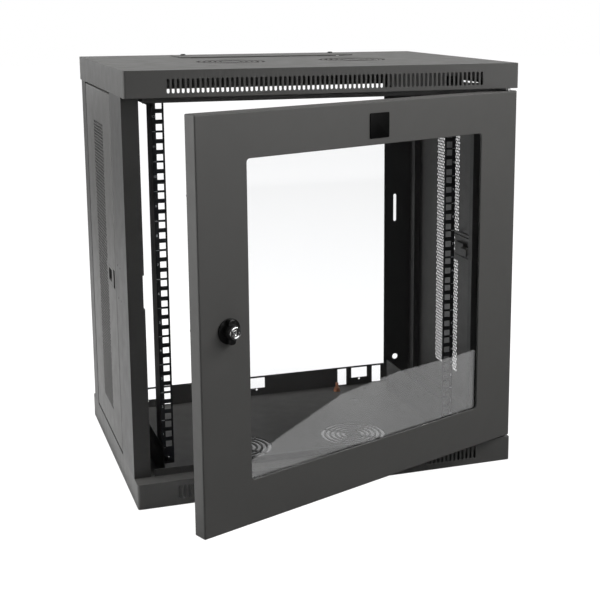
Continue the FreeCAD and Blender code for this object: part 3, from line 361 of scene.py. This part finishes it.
def bend_profile(fold):
    """Section (inset, depth) of the folded edge: round outer bend, edge face and inner face."""
    profile = []
    for step in range(BEND_STEPS + 1):
        angle = math.pi / 2 * step / BEND_STEPS
        profile.append((PANEL_BEND * (1 - math.sin(angle)), PANEL_BEND * (1 - math.cos(angle))))
    return profile + [(0.0, fold), (SKIN, fold), (SKIN, SKIN)]


def panel_mesh(name, side):
    """One folded side panel; side is +1 for the right-hand one."""
    low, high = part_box(name)
    outer = side * max(abs(low.x), abs(high.x))
    holes = panel_holes()
    points = []
    faces = []

    def rim(inset):
        return [(low.y + inset, low.z + inset), (high.y - inset, low.z + inset),
                (high.y - inset, high.z - inset), (low.y + inset, high.z - inset)]

    def add_loop(loop, depth):
        points.extend(Vector((outer - side * depth, y, z)) for y, z in loop)

    def add_walls(start, count):
        for one, two in loop_edges(start, count):
            faces.append((one, two, count + two, count + one))

    for depth, inset in ((0.0, PANEL_BEND), (SKIN, SKIN)):
        flat, kept = pierced_plate(rim(inset), holes)
        start = len(points)
        add_loop(flat, depth)
        faces.extend(tuple(start + index for index in face) for face in kept)
    for hole in holes:
        start = len(points)
        add_loop(hole, 0.0)
        add_loop(hole, SKIN)
        add_walls(start, len(hole))
    profile = bend_profile(abs(high.x - low.x))
    start = len(points)
    for inset, depth in profile:
        add_loop(rim(inset), depth)
    for ring in range(len(profile) - 1):
        add_walls(start + 4 * ring, 4)
    return mesh_piece(name.replace("side_panel", "panel_skin"), points, faces, 40.0)


def make_panels():
    """Both side panels, in place of the CAD's."""
    for side, hand in ((1, "right"), (-1, "left")):
        name = f"side_panel_{hand}"
        place(panel_mesh(name, side), f"{hand}_panel", "panel_coat", [name])


# ---------------------------------------------------------------- rack rail marks

RACK_UNIT = 44.45 * MM
RACK_BASE = 50.8 * MM
RACK_UNITS = 12
# Height of the figures, their distance in from the rail's outer edge, and how the lines run from that edge.
MARK = {"lift": 0.06, "figure": 5.2, "inset": 2.9, "line_start": 5.6, "line_end": 0.4, "line_half": 0.25}


def unit_number(name, unit, location):
    """A printed unit number, flat on the rail's front face."""
    text = bpy.data.curves.new("figure", "FONT")
    text.body = str(unit)
    text.size = MARK["figure"] * MM
    text.align_x = "CENTER"
    text.align_y = "CENTER"
    figure = link_object("figure", text)
    figure.rotation_euler = (math.pi / 2, 0, 0)
    figure.location = location
    bpy.context.view_layer.update()
    flat = bpy.data.meshes.new_from_object(figure.evaluated_get(bpy.context.evaluated_depsgraph_get()))
    made = link_object(name, flat)
    made.matrix_world = figure.matrix_world.copy()
    bpy.data.objects.remove(figure)
    return made


def unit_lines(name, side, outer, face_y):
    """Printed lines between the units."""
    points = []
    faces = []
    for unit in range(RACK_UNITS + 1):
        level = RACK_BASE + unit * RACK_UNIT
        start = len(points)
        for x in (outer - MARK["line_start"] * MM, outer - MARK["line_end"] * MM):
            for z in (level - MARK["line_half"] * MM, level + MARK["line_half"] * MM):
                points.append(Vector((side * x, face_y, z)))
        faces.append((start, start + 1, start + 3, start + 2))
    return mesh_piece(name, points, faces)


def make_rail_marks():
    """Printed unit numbers and unit lines on each rail's face, outboard of its holes."""
    for side, hand in ((1, "right"), (-1, "left")):
        low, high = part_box(f"rack_rail_{hand}")
        face_y = low.y - MARK["lift"] * MM
        outer = max(abs(low.x), abs(high.x))
        middle = side * (outer - MARK["inset"] * MM)
        marks = []
        for unit in range(1, RACK_UNITS + 1):
            location = (middle, face_y, RACK_BASE + (unit - 0.5) * RACK_UNIT)
            marks.append(unit_number(f"unit_mark_{hand}_{unit:02d}", unit, location))
        marks.append(unit_lines(f"unit_lines_{hand}", side, outer, face_y))
        for mark in marks:
            paint(mark, FINISH["print_white"])
            place(mark, "cabinet", "rail_coat")


# ---------------------------------------------------------------- small fasteners

def prism(name, outline, low, high, matrix):
    """A prism: outline is local (x, y) points, from height low to high."""
    count = len(outline)
    points = [matrix @ Vector((x, y, height)) for height in (low, high) for x, y in outline]
    faces = [tuple(range(count))[::-1], tuple(range(count, 2 * count))]
    faces += [(one, two, count + two, count + one) for one, two in loop_edges(0, count)]
    return mesh_piece(name, points, faces)


def rounded_rectangle(width, height, radius, steps=6):
    """Outline of a rectangle with rounded corners, centred on the origin."""
    outline = []
    for quarter in range(4):
        start = math.pi / 2 * quarter
        turn = start + math.pi / 4
        x = math.copysign(width / 2 - radius, math.cos(turn))
        y = math.copysign(height / 2 - radius, math.sin(turn))
        for step in range(steps + 1):
            angle = start + math.pi / 2 * step / steps
            outline.append((x + radius * math.cos(angle), y + radius * math.sin(angle)))
    return outline


def facing(origin, across, up):
    """Local frame at origin: X across, Y up and Z out of the surface."""
    across = Vector(across).normalized()
    up = Vector(up).normalized()
    frame_matrix = Matrix((across, up, across.cross(up))).transposed().to_4x4()
    return Matrix.Translation(origin) @ frame_matrix


def cut_away(piece, cutter):
    """Cuts one piece out of another for good."""
    carving = piece.modifiers.new("carving", "BOOLEAN")
    carving.object = cutter
    carving.solver = "EXACT"
    bake_modifiers(piece)
    bpy.data.objects.remove(cutter)


def pan_head(name, matrix, radius, rise, shank_radius, shank_length):
    """A pan head screw with a cross recess, standing on the local XY plane."""
    crown = radius * 0.35
    profile = [(0.0, -shank_length), (shank_radius, -shank_length), (shank_radius, 0.0), (radius, 0.0)]
    for step in range(7):
        angle = math.pi / 2 * step / 6
        profile.append((crown + (radius - crown) * math.cos(angle), rise * (0.25 + 0.75 * math.sin(angle))))
    profile.append((0.0, rise))
    screw = lathe(name, profile, matrix, 40)
    arm = radius * 0.62
    width = radius * 0.1
    cross = [
        (arm, width), (width, width), (width, arm), (-width, arm), (-width, width), (-arm, width),
        (-arm, -width), (-width, -width), (-width, -arm), (width, -arm), (width, -width), (arm, -width)]
    cut_away(screw, prism("recess", cross, rise * 0.45, rise * 1.2, matrix))
    shade(screw.data)
    return screw


def joined(name, parts):
    """One object from several, so that it can stand for one CAD node."""
    merged = bmesh.new()
    for part in parts:
        merged.from_mesh(part.data)
    mesh = bpy.data.meshes.new(name)
    merged.to_mesh(mesh)
    merged.free()
    for part in parts:
        bpy.data.objects.remove(part)
    shade(mesh)
    return link_object(name, mesh)


RAIL_SCREW = {
    "radius": 5.5, "rise": 3.4, "shank": 3.0, "length": 12.0,
    "side": 236.0, "levels": (33.0, 602.0),
}
PLATE_SCREW = {
    "radius": 4.5, "rise": 2.2, "shank": 2.0, "length": 9.0,
    "side": 132.0, "depth": 175.0,
}


def screw_set(name, size, matrices):
    """One piece of several like screws."""
    measures = [size[key] * MM for key in ("radius", "rise", "shank", "length")]
    return joined(name, [pan_head("screw", matrix, *measures) for matrix in matrices])


def make_screws():
    """The rails' end screws and the two screws of the cable plate."""
    face_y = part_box("rack_rail_right")[0].y
    side = RAIL_SCREW["side"] * MM
    matrices = []
    for x in (-side, side):
        for level in RAIL_SCREW["levels"]:
            matrices.append(facing((x, face_y, level * MM), (1, 0, 0), (0, 0, 1)))
    rail_heads = screw_set("rail_screw_heads", RAIL_SCREW, matrices)
    place(rail_heads, "cabinet", "black_screw", ["rail_screws"])
    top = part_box("cable_plate")[1].z
    side, depth = PLATE_SCREW["side"] * MM, PLATE_SCREW["depth"] * MM
    matrices = [facing((x, depth, top), (1, 0, 0), (0, 1, 0)) for x in (-side, side)]
    plate_heads = screw_set("plate_screw_heads", PLATE_SCREW, matrices)
    place(plate_heads, "cabinet", "black_screw", ["cable_plate_screws"])


# Pitch in millimetres; the thread's root and the tapered tip as shares of the radius.
THREAD = {"pitch": 1.0, "root": 0.86, "tip": 0.8}


def make_stud():
    """Threaded ground stud."""
    low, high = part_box("ground_stud")
    radius = (high.x - low.x) / 2
    root = radius * THREAD["root"]
    pitch = THREAD["pitch"] * MM
    centre = ((low.x + high.x) / 2, (low.y + high.y) / 2, low.z)
    height = high.z - low.z
    profile = [(0.0, 0.0)]
    turns = int(height / pitch) - 1
    for turn in range(turns):
        profile.append((root, turn * pitch))
        profile.append((radius, (turn + 0.5) * pitch))
    profile += [(root, turns * pitch), (radius * THREAD["tip"], height), (0.0, height)]
    place(lathe("stud_thread", profile, Matrix.Translation(centre), 32), "cabinet", "brass", ["ground_stud"])


# ---------------------------------------------------------------- door furniture

# Places on the shut door, in millimetres; its front skin lies at DOOR_FACE.
DOOR_FACE = -225.0
BUMPER = {
    "edge": -291.0, "y": -204.0, "levels": (143.0, 317.0, 491.0),
    "radius": 4.0, "stem": 3.2, "dome": 2.5,
}
BADGE = {
    "x": 10.0, "level": 559.5, "width": 36.0, "height": 35.0,
    "corner": 1.6, "thickness": 1.2, "edge": 0.35,
}


def make_bumpers():
    """Three domed rubber buffers on the back of the door's free edge."""
    radius, stem = BUMPER["radius"] * MM, BUMPER["stem"] * MM
    profile = [(0.0, 0.0), (radius, 0.0), (radius, stem)]
    for step in range(1, 6):
        angle = math.pi / 2 * step / 5
        profile.append((radius * math.cos(angle), stem + BUMPER["dome"] * MM * math.sin(angle)))
    domes = []
    for level in BUMPER["levels"]:
        foot = (BUMPER["edge"] * MM, BUMPER["y"] * MM, level * MM)
        domes.append(lathe("dome", profile, SWING @ facing(foot, (-1, 0, 0), (0, 0, 1)), 32))
    place(joined("bumper_domes", domes), "door", "rubber", ["door_bumpers"])


def make_badge():
    """Bare black plate with rounded corners and a softened edge."""
    centre = (BADGE["x"] * MM, DOOR_FACE * MM, BADGE["level"] * MM)
    matrix = SWING @ facing(centre, (1, 0, 0), (0, 0, 1))
    outline = rounded_rectangle(BADGE["width"] * MM, BADGE["height"] * MM, BADGE["corner"] * MM)
    plate = prism("badge_face", outline, 0.0, BADGE["thickness"] * MM, matrix)
    place(bevelled(plate, BADGE["edge"] * MM), "door", "badge_black", ["badge_plate"])


KNOB = {"hub": 9.5, "height": 12.0, "round": 1.6, "skirt": 0.8, "gap": 2.2}
WING = {"width": 10.0, "height": 34.0, "rise": 7.0, "corner": 3.6, "edge": 1.4}
SPINDLE = {"radius": 5.0, "length": 26.0}
BORE = {"radius": 6.55, "depth": 9.0}
KEY = {
    "core": 6.3, "length": 8.7,
    "boss": 3.4, "boss_rise": 0.9, "chamfer": 0.3,
    "groove": 5.2, "groove_rise": 0.2,
    "ring": 8.4, "ring_foot": 0.1, "ring_rise": 1.4,
    "slot_width": 1.5, "slot_height": 5.0, "slot_corner": 0.4, "slot_depth": 2.0,
}


def make_lock():
    """Winged knob with a hollow for the key cylinder, and the chrome cylinder with its key slot."""
    origin = (LOCK_AXIS.x, (DOOR_FACE - KNOB["gap"]) * MM, LOCK_AXIS.z)
    base = SWING @ facing(origin, (1, 0, 0), (0, 0, 1))
    place(joined("knob_handle", knob_parts(base)), "lock", "lock_black", ["lock_knob"])
    place(key_cylinder(base), "key_plug", "lock_chrome", ["lock_cylinder"])


def knob_parts(base):
    """The knob's hollow round boss, its wing and its spindle."""
    hub, height, corner = KNOB["hub"] * MM, KNOB["height"] * MM, KNOB["round"] * MM
    skirt, rise = hub + KNOB["skirt"] * MM, WING["rise"] * MM
    profile = [(BORE["radius"] * MM, height - BORE["depth"] * MM), (BORE["radius"] * MM, height)]
    for step in range(6):
        angle = math.pi / 2 * (1 - step / 5)
        profile.append((hub - corner + corner * math.cos(angle), height - corner + corner * math.sin(angle)))
    profile += [(skirt, rise), (skirt, 0.0), (0.0, 0.0)]
    boss = lathe("knob_boss", profile, base, 56)
    outline = rounded_rectangle(WING["width"] * MM, WING["height"] * MM, WING["corner"] * MM)
    wing = bevelled(prism("knob_wing", outline, 0.0, rise, base), WING["edge"] * MM, 4)
    cut_away(wing, lathe("wing_bore", [(0.0, -MM), (hub, -MM), (hub, 2 * rise), (0.0, 2 * rise)], base, 56))
    radius, length = SPINDLE["radius"] * MM, SPINDLE["length"] * MM
    spindle = lathe("knob_spindle", [(0.0, -length), (radius, -length), (radius, 0.0)], base, 32)
    return [boss, wing, spindle]


def key_cylinder(base):
    """Chrome key cylinder: rounded outer ring, sunk groove and a boss with the key slot."""
    face = KNOB["height"] * MM
    core, groove, ring, boss = (KEY[key] * MM for key in ("core", "groove", "ring", "boss"))
    sunk, crown, foot = (face + KEY[key] * MM for key in ("groove_rise", "boss_rise", "ring_foot"))
    chamfer, end = KEY["chamfer"] * MM, face - KEY["length"] * MM
    profile = [(0.0, crown), (boss, crown), (boss + chamfer, crown - chamfer), (boss + chamfer, sunk)]
    middle, half = (groove + ring) / 2, (ring - groove) / 2
    for step in range(13):
        angle = math.pi * (1 - step / 12)
        rise = (KEY["ring_rise"] - KEY["groove_rise"]) * MM * math.sin(angle)
        profile.append((middle + half * math.cos(angle), sunk + rise))
    profile += [(ring, foot), (core, foot), (core, end), (0.0, end)]
    cylinder = lathe("key_cylinder", profile, base, 64)
    outline = rounded_rectangle(KEY["slot_width"] * MM, KEY["slot_height"] * MM, KEY["slot_corner"] * MM)
    depth = KEY["slot_depth"] * MM
    cut_away(cylinder, prism("key_slot", outline, face - depth, face + depth, base))
    return cylinder


# ---------------------------------------------------------------- shader helpers for the stage

def ramped(tree, source, start, full, low, high):
    """Maps one value smoothly onto a range."""
    ramp = tree.nodes.new("ShaderNodeMapRange")
    ramp.interpolation_type = "SMOOTHSTEP"
    ramp.inputs["From Min"].default_value = start
    ramp.inputs["From Max"].default_value = full
    ramp.inputs["To Min"].default_value = low
    ramp.inputs["To Max"].default_value = high
    tree.links.new(source, ramp.inputs["Value"])
    return ramp.outputs["Result"]


def combined(tree, operation, first, *others):
    """One value worked out from several, taken in turn."""
    for other in others:
        math_node = tree.nodes.new("ShaderNodeMath")
        math_node.operation = operation
        tree.links.new(first, math_node.inputs[0])
        tree.links.new(other, math_node.inputs[1])
        first = math_node.outputs["Value"]
    return first


def light_path_mix(made, shown, lit):
    """Mixes two shaders of a material or world.

    Shown is what the camera sees, directly or straight through the clear sheet; lit is everything else,
    the reflections inside the sheet among it.
    """
    tree = made.node_tree
    rays = tree.nodes.new("ShaderNodeLightPath")
    unbounced = tree.nodes.new("ShaderNodeMath")
    unbounced.operation = "LESS_THAN"
    unbounced.inputs[1].default_value = 0.5
    tree.links.new(rays.outputs["Glossy Depth"], unbounced.inputs[0])
    straight = combined(tree, "MULTIPLY", rays.outputs["Is Transmission Ray"], unbounced.outputs["Value"])
    mix = tree.nodes.new("ShaderNodeMixShader")
    tree.links.new(combined(tree, "MAXIMUM", rays.outputs["Is Camera Ray"], straight), mix.inputs["Fac"])
    tree.links.new(lit, mix.inputs[1])
    tree.links.new(shown, mix.inputs[2])
    return mix.outputs["Shader"]


# ---------------------------------------------------------------- studio: backdrop, floor, light, camera

# What gloss shows of the studio: (direction, cosine where it starts, cosine where it is full, strength).
HORIZON_LIGHTS = (
    ((0.35, 0.94, 0.0), 0.45, 0.90, 1.6),
    ((-1.0, 0.15, 0.0), 0.70, 0.98, 0.9),
)
CEILING_LIGHTS = (((0.0, 0.0, 1.0), 0.50, 0.95, 0.75),)
# The horizon lights are full up to one height and fade to a rest above it.
BAND = {"full": 0.11, "end": 0.24, "rest": 0.05}
FRONT_GLOOM = 0.015
SKY_TINT = (0.98, 0.99, 1, 1)
WHITE = (1, 1, 1, 1)


def brightest(tree, direction, lights):
    """The brightest of several soft lights around the studio."""
    levels = []
    for aim, start, full, strength in lights:
        alignment = tree.nodes.new("ShaderNodeVectorMath")
        alignment.operation = "DOT_PRODUCT"
        tree.links.new(direction, alignment.inputs[0])
        alignment.inputs[1].default_value = Vector(aim).normalized()
        levels.append(ramped(tree, alignment.outputs["Value"], start, full, FRONT_GLOOM, strength))
    return combined(tree, "MAXIMUM", *levels)


def make_world():
    """White to the camera; to the object a bright horizon behind and left, a soft ceiling and a dim front."""
    world = bpy.data.worlds.new("studio")
    bpy.context.scene.world = world
    world.use_nodes = True
    tree = world.node_tree
    tree.nodes.clear()
    direction = tree.nodes.new("ShaderNodeTexCoord").outputs["Generated"]
    split = tree.nodes.new("ShaderNodeSeparateXYZ")
    tree.links.new(direction, split.inputs["Vector"])
    band = ramped(tree, split.outputs["Z"], BAND["full"], BAND["end"], 1.0, BAND["rest"])
    horizon = combined(tree, "MULTIPLY", brightest(tree, direction, HORIZON_LIGHTS), band)
    level = combined(tree, "MAXIMUM", horizon, brightest(tree, direction, CEILING_LIGHTS))
    shown = tree.nodes.new("ShaderNodeBackground")
    shown.inputs["Color"].default_value = WHITE
    lit = tree.nodes.new("ShaderNodeBackground")
    lit.inputs["Color"].default_value = SKY_TINT
    tree.links.new(level, lit.inputs["Strength"])
    mixed = light_path_mix(world, shown.outputs["Background"], lit.outputs["Background"])
    out = tree.nodes.new("ShaderNodeOutputWorld")
    tree.links.new(mixed, out.inputs["Surface"])


# The shown floor carries a painted shadow: it does not glow under the cabinet, save for a dim painted light in a
# strip under the cabinet's middle.
# It is nearly white around the cabinet and fully white far away, where it meets the backdrop.
FLOOR = {
    "reach": 12.0, "near": 1.0, "far": 3.0,
    "half_width": 0.30, "half_depth": 0.225, "margin": 0.02, "open_glow": 0.94,
    "strip": 0.10, "strip_end": 0.15, "strip_painted_light": 0.17,
}
FLOOR_GREY = (0.38, 0.38, 0.38, 1)
FLOOR_SHADE = (0.1, 0.1, 0.1, 1)


def floor_glow(add, link, tree):
    """Strength of the glow that the camera sees at each place of the floor: none under the cabinet, a painted
    shadow, save for a dim painted light in a strip under its middle.
    """
    split = add("ShaderNodeSeparateXYZ")
    link(add("ShaderNodeTexCoord").outputs["Object"], split.inputs["Vector"])
    levels = []
    for axis, half in (("X", FLOOR["half_width"]), ("Y", FLOOR["half_depth"])):
        size = add("ShaderNodeMath", operation="ABSOLUTE")
        link(split.outputs[axis], size.inputs[0])
        distance = size.outputs["Value"]
        # Painted shadow: no glow inside the cabinet's footprint, fading in over the margin.
        levels.append(ramped(tree, distance, half - FLOOR["margin"], half, 0.0, FLOOR["open_glow"]))
        levels.append(ramped(tree, distance, FLOOR["near"], FLOOR["far"], 0.0, 1.0))
    # Painted light: a dim glow in a strip under the middle of the cabinet.
    levels.append(ramped(tree, distance, FLOOR["strip"], FLOOR["strip_end"], FLOOR["strip_painted_light"], 0.0))
    return combined(tree, "MAXIMUM", *levels)


def make_floor():
    """Pale floor: white to the camera, plain grey to the light, with a painted shadow under the cabinet."""
    reach = FLOOR["reach"]
    mesh = bpy.data.meshes.new("floor")
    corners = [(-reach, -reach, 0), (reach, -reach, 0), (reach, reach, 0), (-reach, reach, 0)]
    mesh.from_pydata(corners, [], [(0, 1, 2, 3)])
    floor = link_object("floor", mesh)
    made, link, shader, add = material("floor_white")
    shader.inputs["Base Color"].default_value = FLOOR_GREY
    shader.inputs["Roughness"].default_value = 0.9
    shader.inputs["Specular IOR Level"].default_value = 0.1
    glow = add("ShaderNodeEmission", Color=WHITE)
    link(floor_glow(add, link, made.node_tree), glow.inputs["Strength"])
    shade_part = add("ShaderNodeBsdfDiffuse", Color=FLOOR_SHADE)
    shown = add("ShaderNodeAddShader")
    link(shade_part.outputs["BSDF"], shown.inputs[0])
    link(glow.outputs["Emission"], shown.inputs[1])
    mixed = light_path_mix(made, shown.outputs["Shader"], shader.outputs["BSDF"])
    link(mixed, made.node_tree.nodes["Material Output"].inputs["Surface"])
    paint(floor, made)


def floor_card(height, *outline):
    """Corners of a card that lies just above the floor."""
    return [(x, y, height) for x, y in outline]


def standing_card(one, two, low, high):
    """Corners of an upright card between two places on the floor."""
    return [(*one, low), (*two, low), (*two, high), (*one, high)]


# Cards that only reflections see: their corners, their strength and which reflections see them.
# The bright one is the pale veil across the window and the dark one bounds it.
# The others give the powder coat its sheen.
CARDS = {
    "bright_card": (floor_card(
        0.002, (-0.10, -0.555), (0.20, -0.590), (0.462, -0.600), (0.64, -0.562), (0.806, -0.495),
        (1.10, -0.41), (1.10, -0.10), (0.31, -0.10), (-0.10, -0.30)), 1.6, "sharp"),
    "left_card": (floor_card(0.002, (-3.0, -0.7), (-0.31, -0.3), (-0.31, 1.6), (-3.0, 1.6)), 1.1, "rough"),
    "dark_card": (floor_card(
        0.001, (-0.6, -0.50), (-0.6, -4.5), (9.0, -4.5), (9.0, 1.5), (1.2, 0.3), (0.31, -0.10)), 0.03, "all"),
    "left_wall": (standing_card((-2.4, -0.9), (-2.4, 1.5), 0.1, 1.9), 3.2, "rough"),
    "right_wall": (standing_card((2.55, -1.15), (0.75, -2.9), 0.6, 1.9), 4.2, "rough"),
}


def make_card(name, corners, strength, seen):
    """A card for "sharp" reflections (the clear sheet's), for "rough" ones or for "all"."""
    mesh = bpy.data.meshes.new(name)
    mesh.from_pydata(corners, [], [tuple(range(len(corners)))])
    card = link_object(name, mesh)
    made, link, _, add = material(name)
    lit = add("ShaderNodeEmission", Color=WHITE, Strength=strength).outputs["Emission"]
    clear = add("ShaderNodeBsdfTransparent").outputs["BSDF"]
    chosen = add("ShaderNodeMixShader")
    link(add("ShaderNodeLightPath").outputs["Is Singular Ray"], chosen.inputs["Fac"])
    link(clear if seen == "sharp" else lit, chosen.inputs[1])
    link(clear if seen == "rough" else lit, chosen.inputs[2])
    mixed = light_path_mix(made, clear, chosen.outputs["Shader"])
    link(mixed, made.node_tree.nodes["Material Output"].inputs["Surface"])
    paint(card, made)
    card.visible_camera = False
    card.visible_diffuse = False
    card.visible_shadow = False


# Place, target, size in metres and power in watts.
LAMPS = {
    "left_softbox": ((-2.0, 0.0, 2.1), (-0.3, -0.1, 0.3), (1.6, 1.4), 80),
    "right_softbox": ((2.1, -0.95, 1.9), (0.1, -0.3, 0.4), (1.8, 1.4), 125),
    "top_softbox": ((0.0, 0.5, 2.6), (0, 0, 0.3), (2.4, 2.0), 60),
}


def make_lamp(name, location, target, size, power):
    """A softbox for the diffuse light; gloss shows the cards and the backdrop instead."""
    lamp = bpy.data.lights.new(name, "AREA")
    lamp.shape = "RECTANGLE"
    lamp.size, lamp.size_y = size
    lamp.energy = power
    made = link_object(name, lamp)
    made.location = location
    made.rotation_euler = (Vector(target) - Vector(location)).to_track_quat("-Z", "Y").to_euler()
    made.visible_glossy = False


# Lens and place in the picture as shares of its width; yaw, pitch and roll in degrees.
CAMERA = {
    "sensor": 36.0, "lens": 2.0385, "shift": (-1 / 12, -0.1),
    "place": (-0.5689, -1.9030, 0.7317), "turn": (19.56, -11.19, -0.07),
}


def make_camera():
    """The camera of the photograph, as fitted to the cabinet."""
    data = bpy.data.cameras.new("camera")
    data.sensor_width = CAMERA["sensor"]
    data.lens = CAMERA["sensor"] * CAMERA["lens"]
    data.shift_x, data.shift_y = CAMERA["shift"]
    yaw, pitch, roll = (math.radians(angle) for angle in CAMERA["turn"])
    ahead = Vector((math.sin(yaw) * math.cos(pitch), math.cos(yaw) * math.cos(pitch), math.sin(pitch)))
    right = Vector((math.cos(yaw), -math.sin(yaw), 0))
    up = right.cross(ahead)
    tilted_right = right * math.cos(roll) + up * math.sin(roll)
    tilted_up = up * math.cos(roll) - right * math.sin(roll)
    turn = Matrix((tilted_right, tilted_up, -ahead)).transposed().to_4x4()
    made = link_object("camera", data)
    made.matrix_world = Matrix.Translation(CAMERA["place"]) @ turn
    bpy.context.scene.camera = made


make_panels()
make_rail_marks()
make_screws()
make_stud()
make_bumpers()
make_badge()
make_lock()
make_world()
make_floor()
for card_name, card_settings in CARDS.items():
    make_card(card_name, *card_settings)
for lamp_name, lamp_settings in LAMPS.items():
    make_lamp(lamp_name, *lamp_settings)
make_camera()
bpy.context.scene.view_settings.view_transform = "Standard"
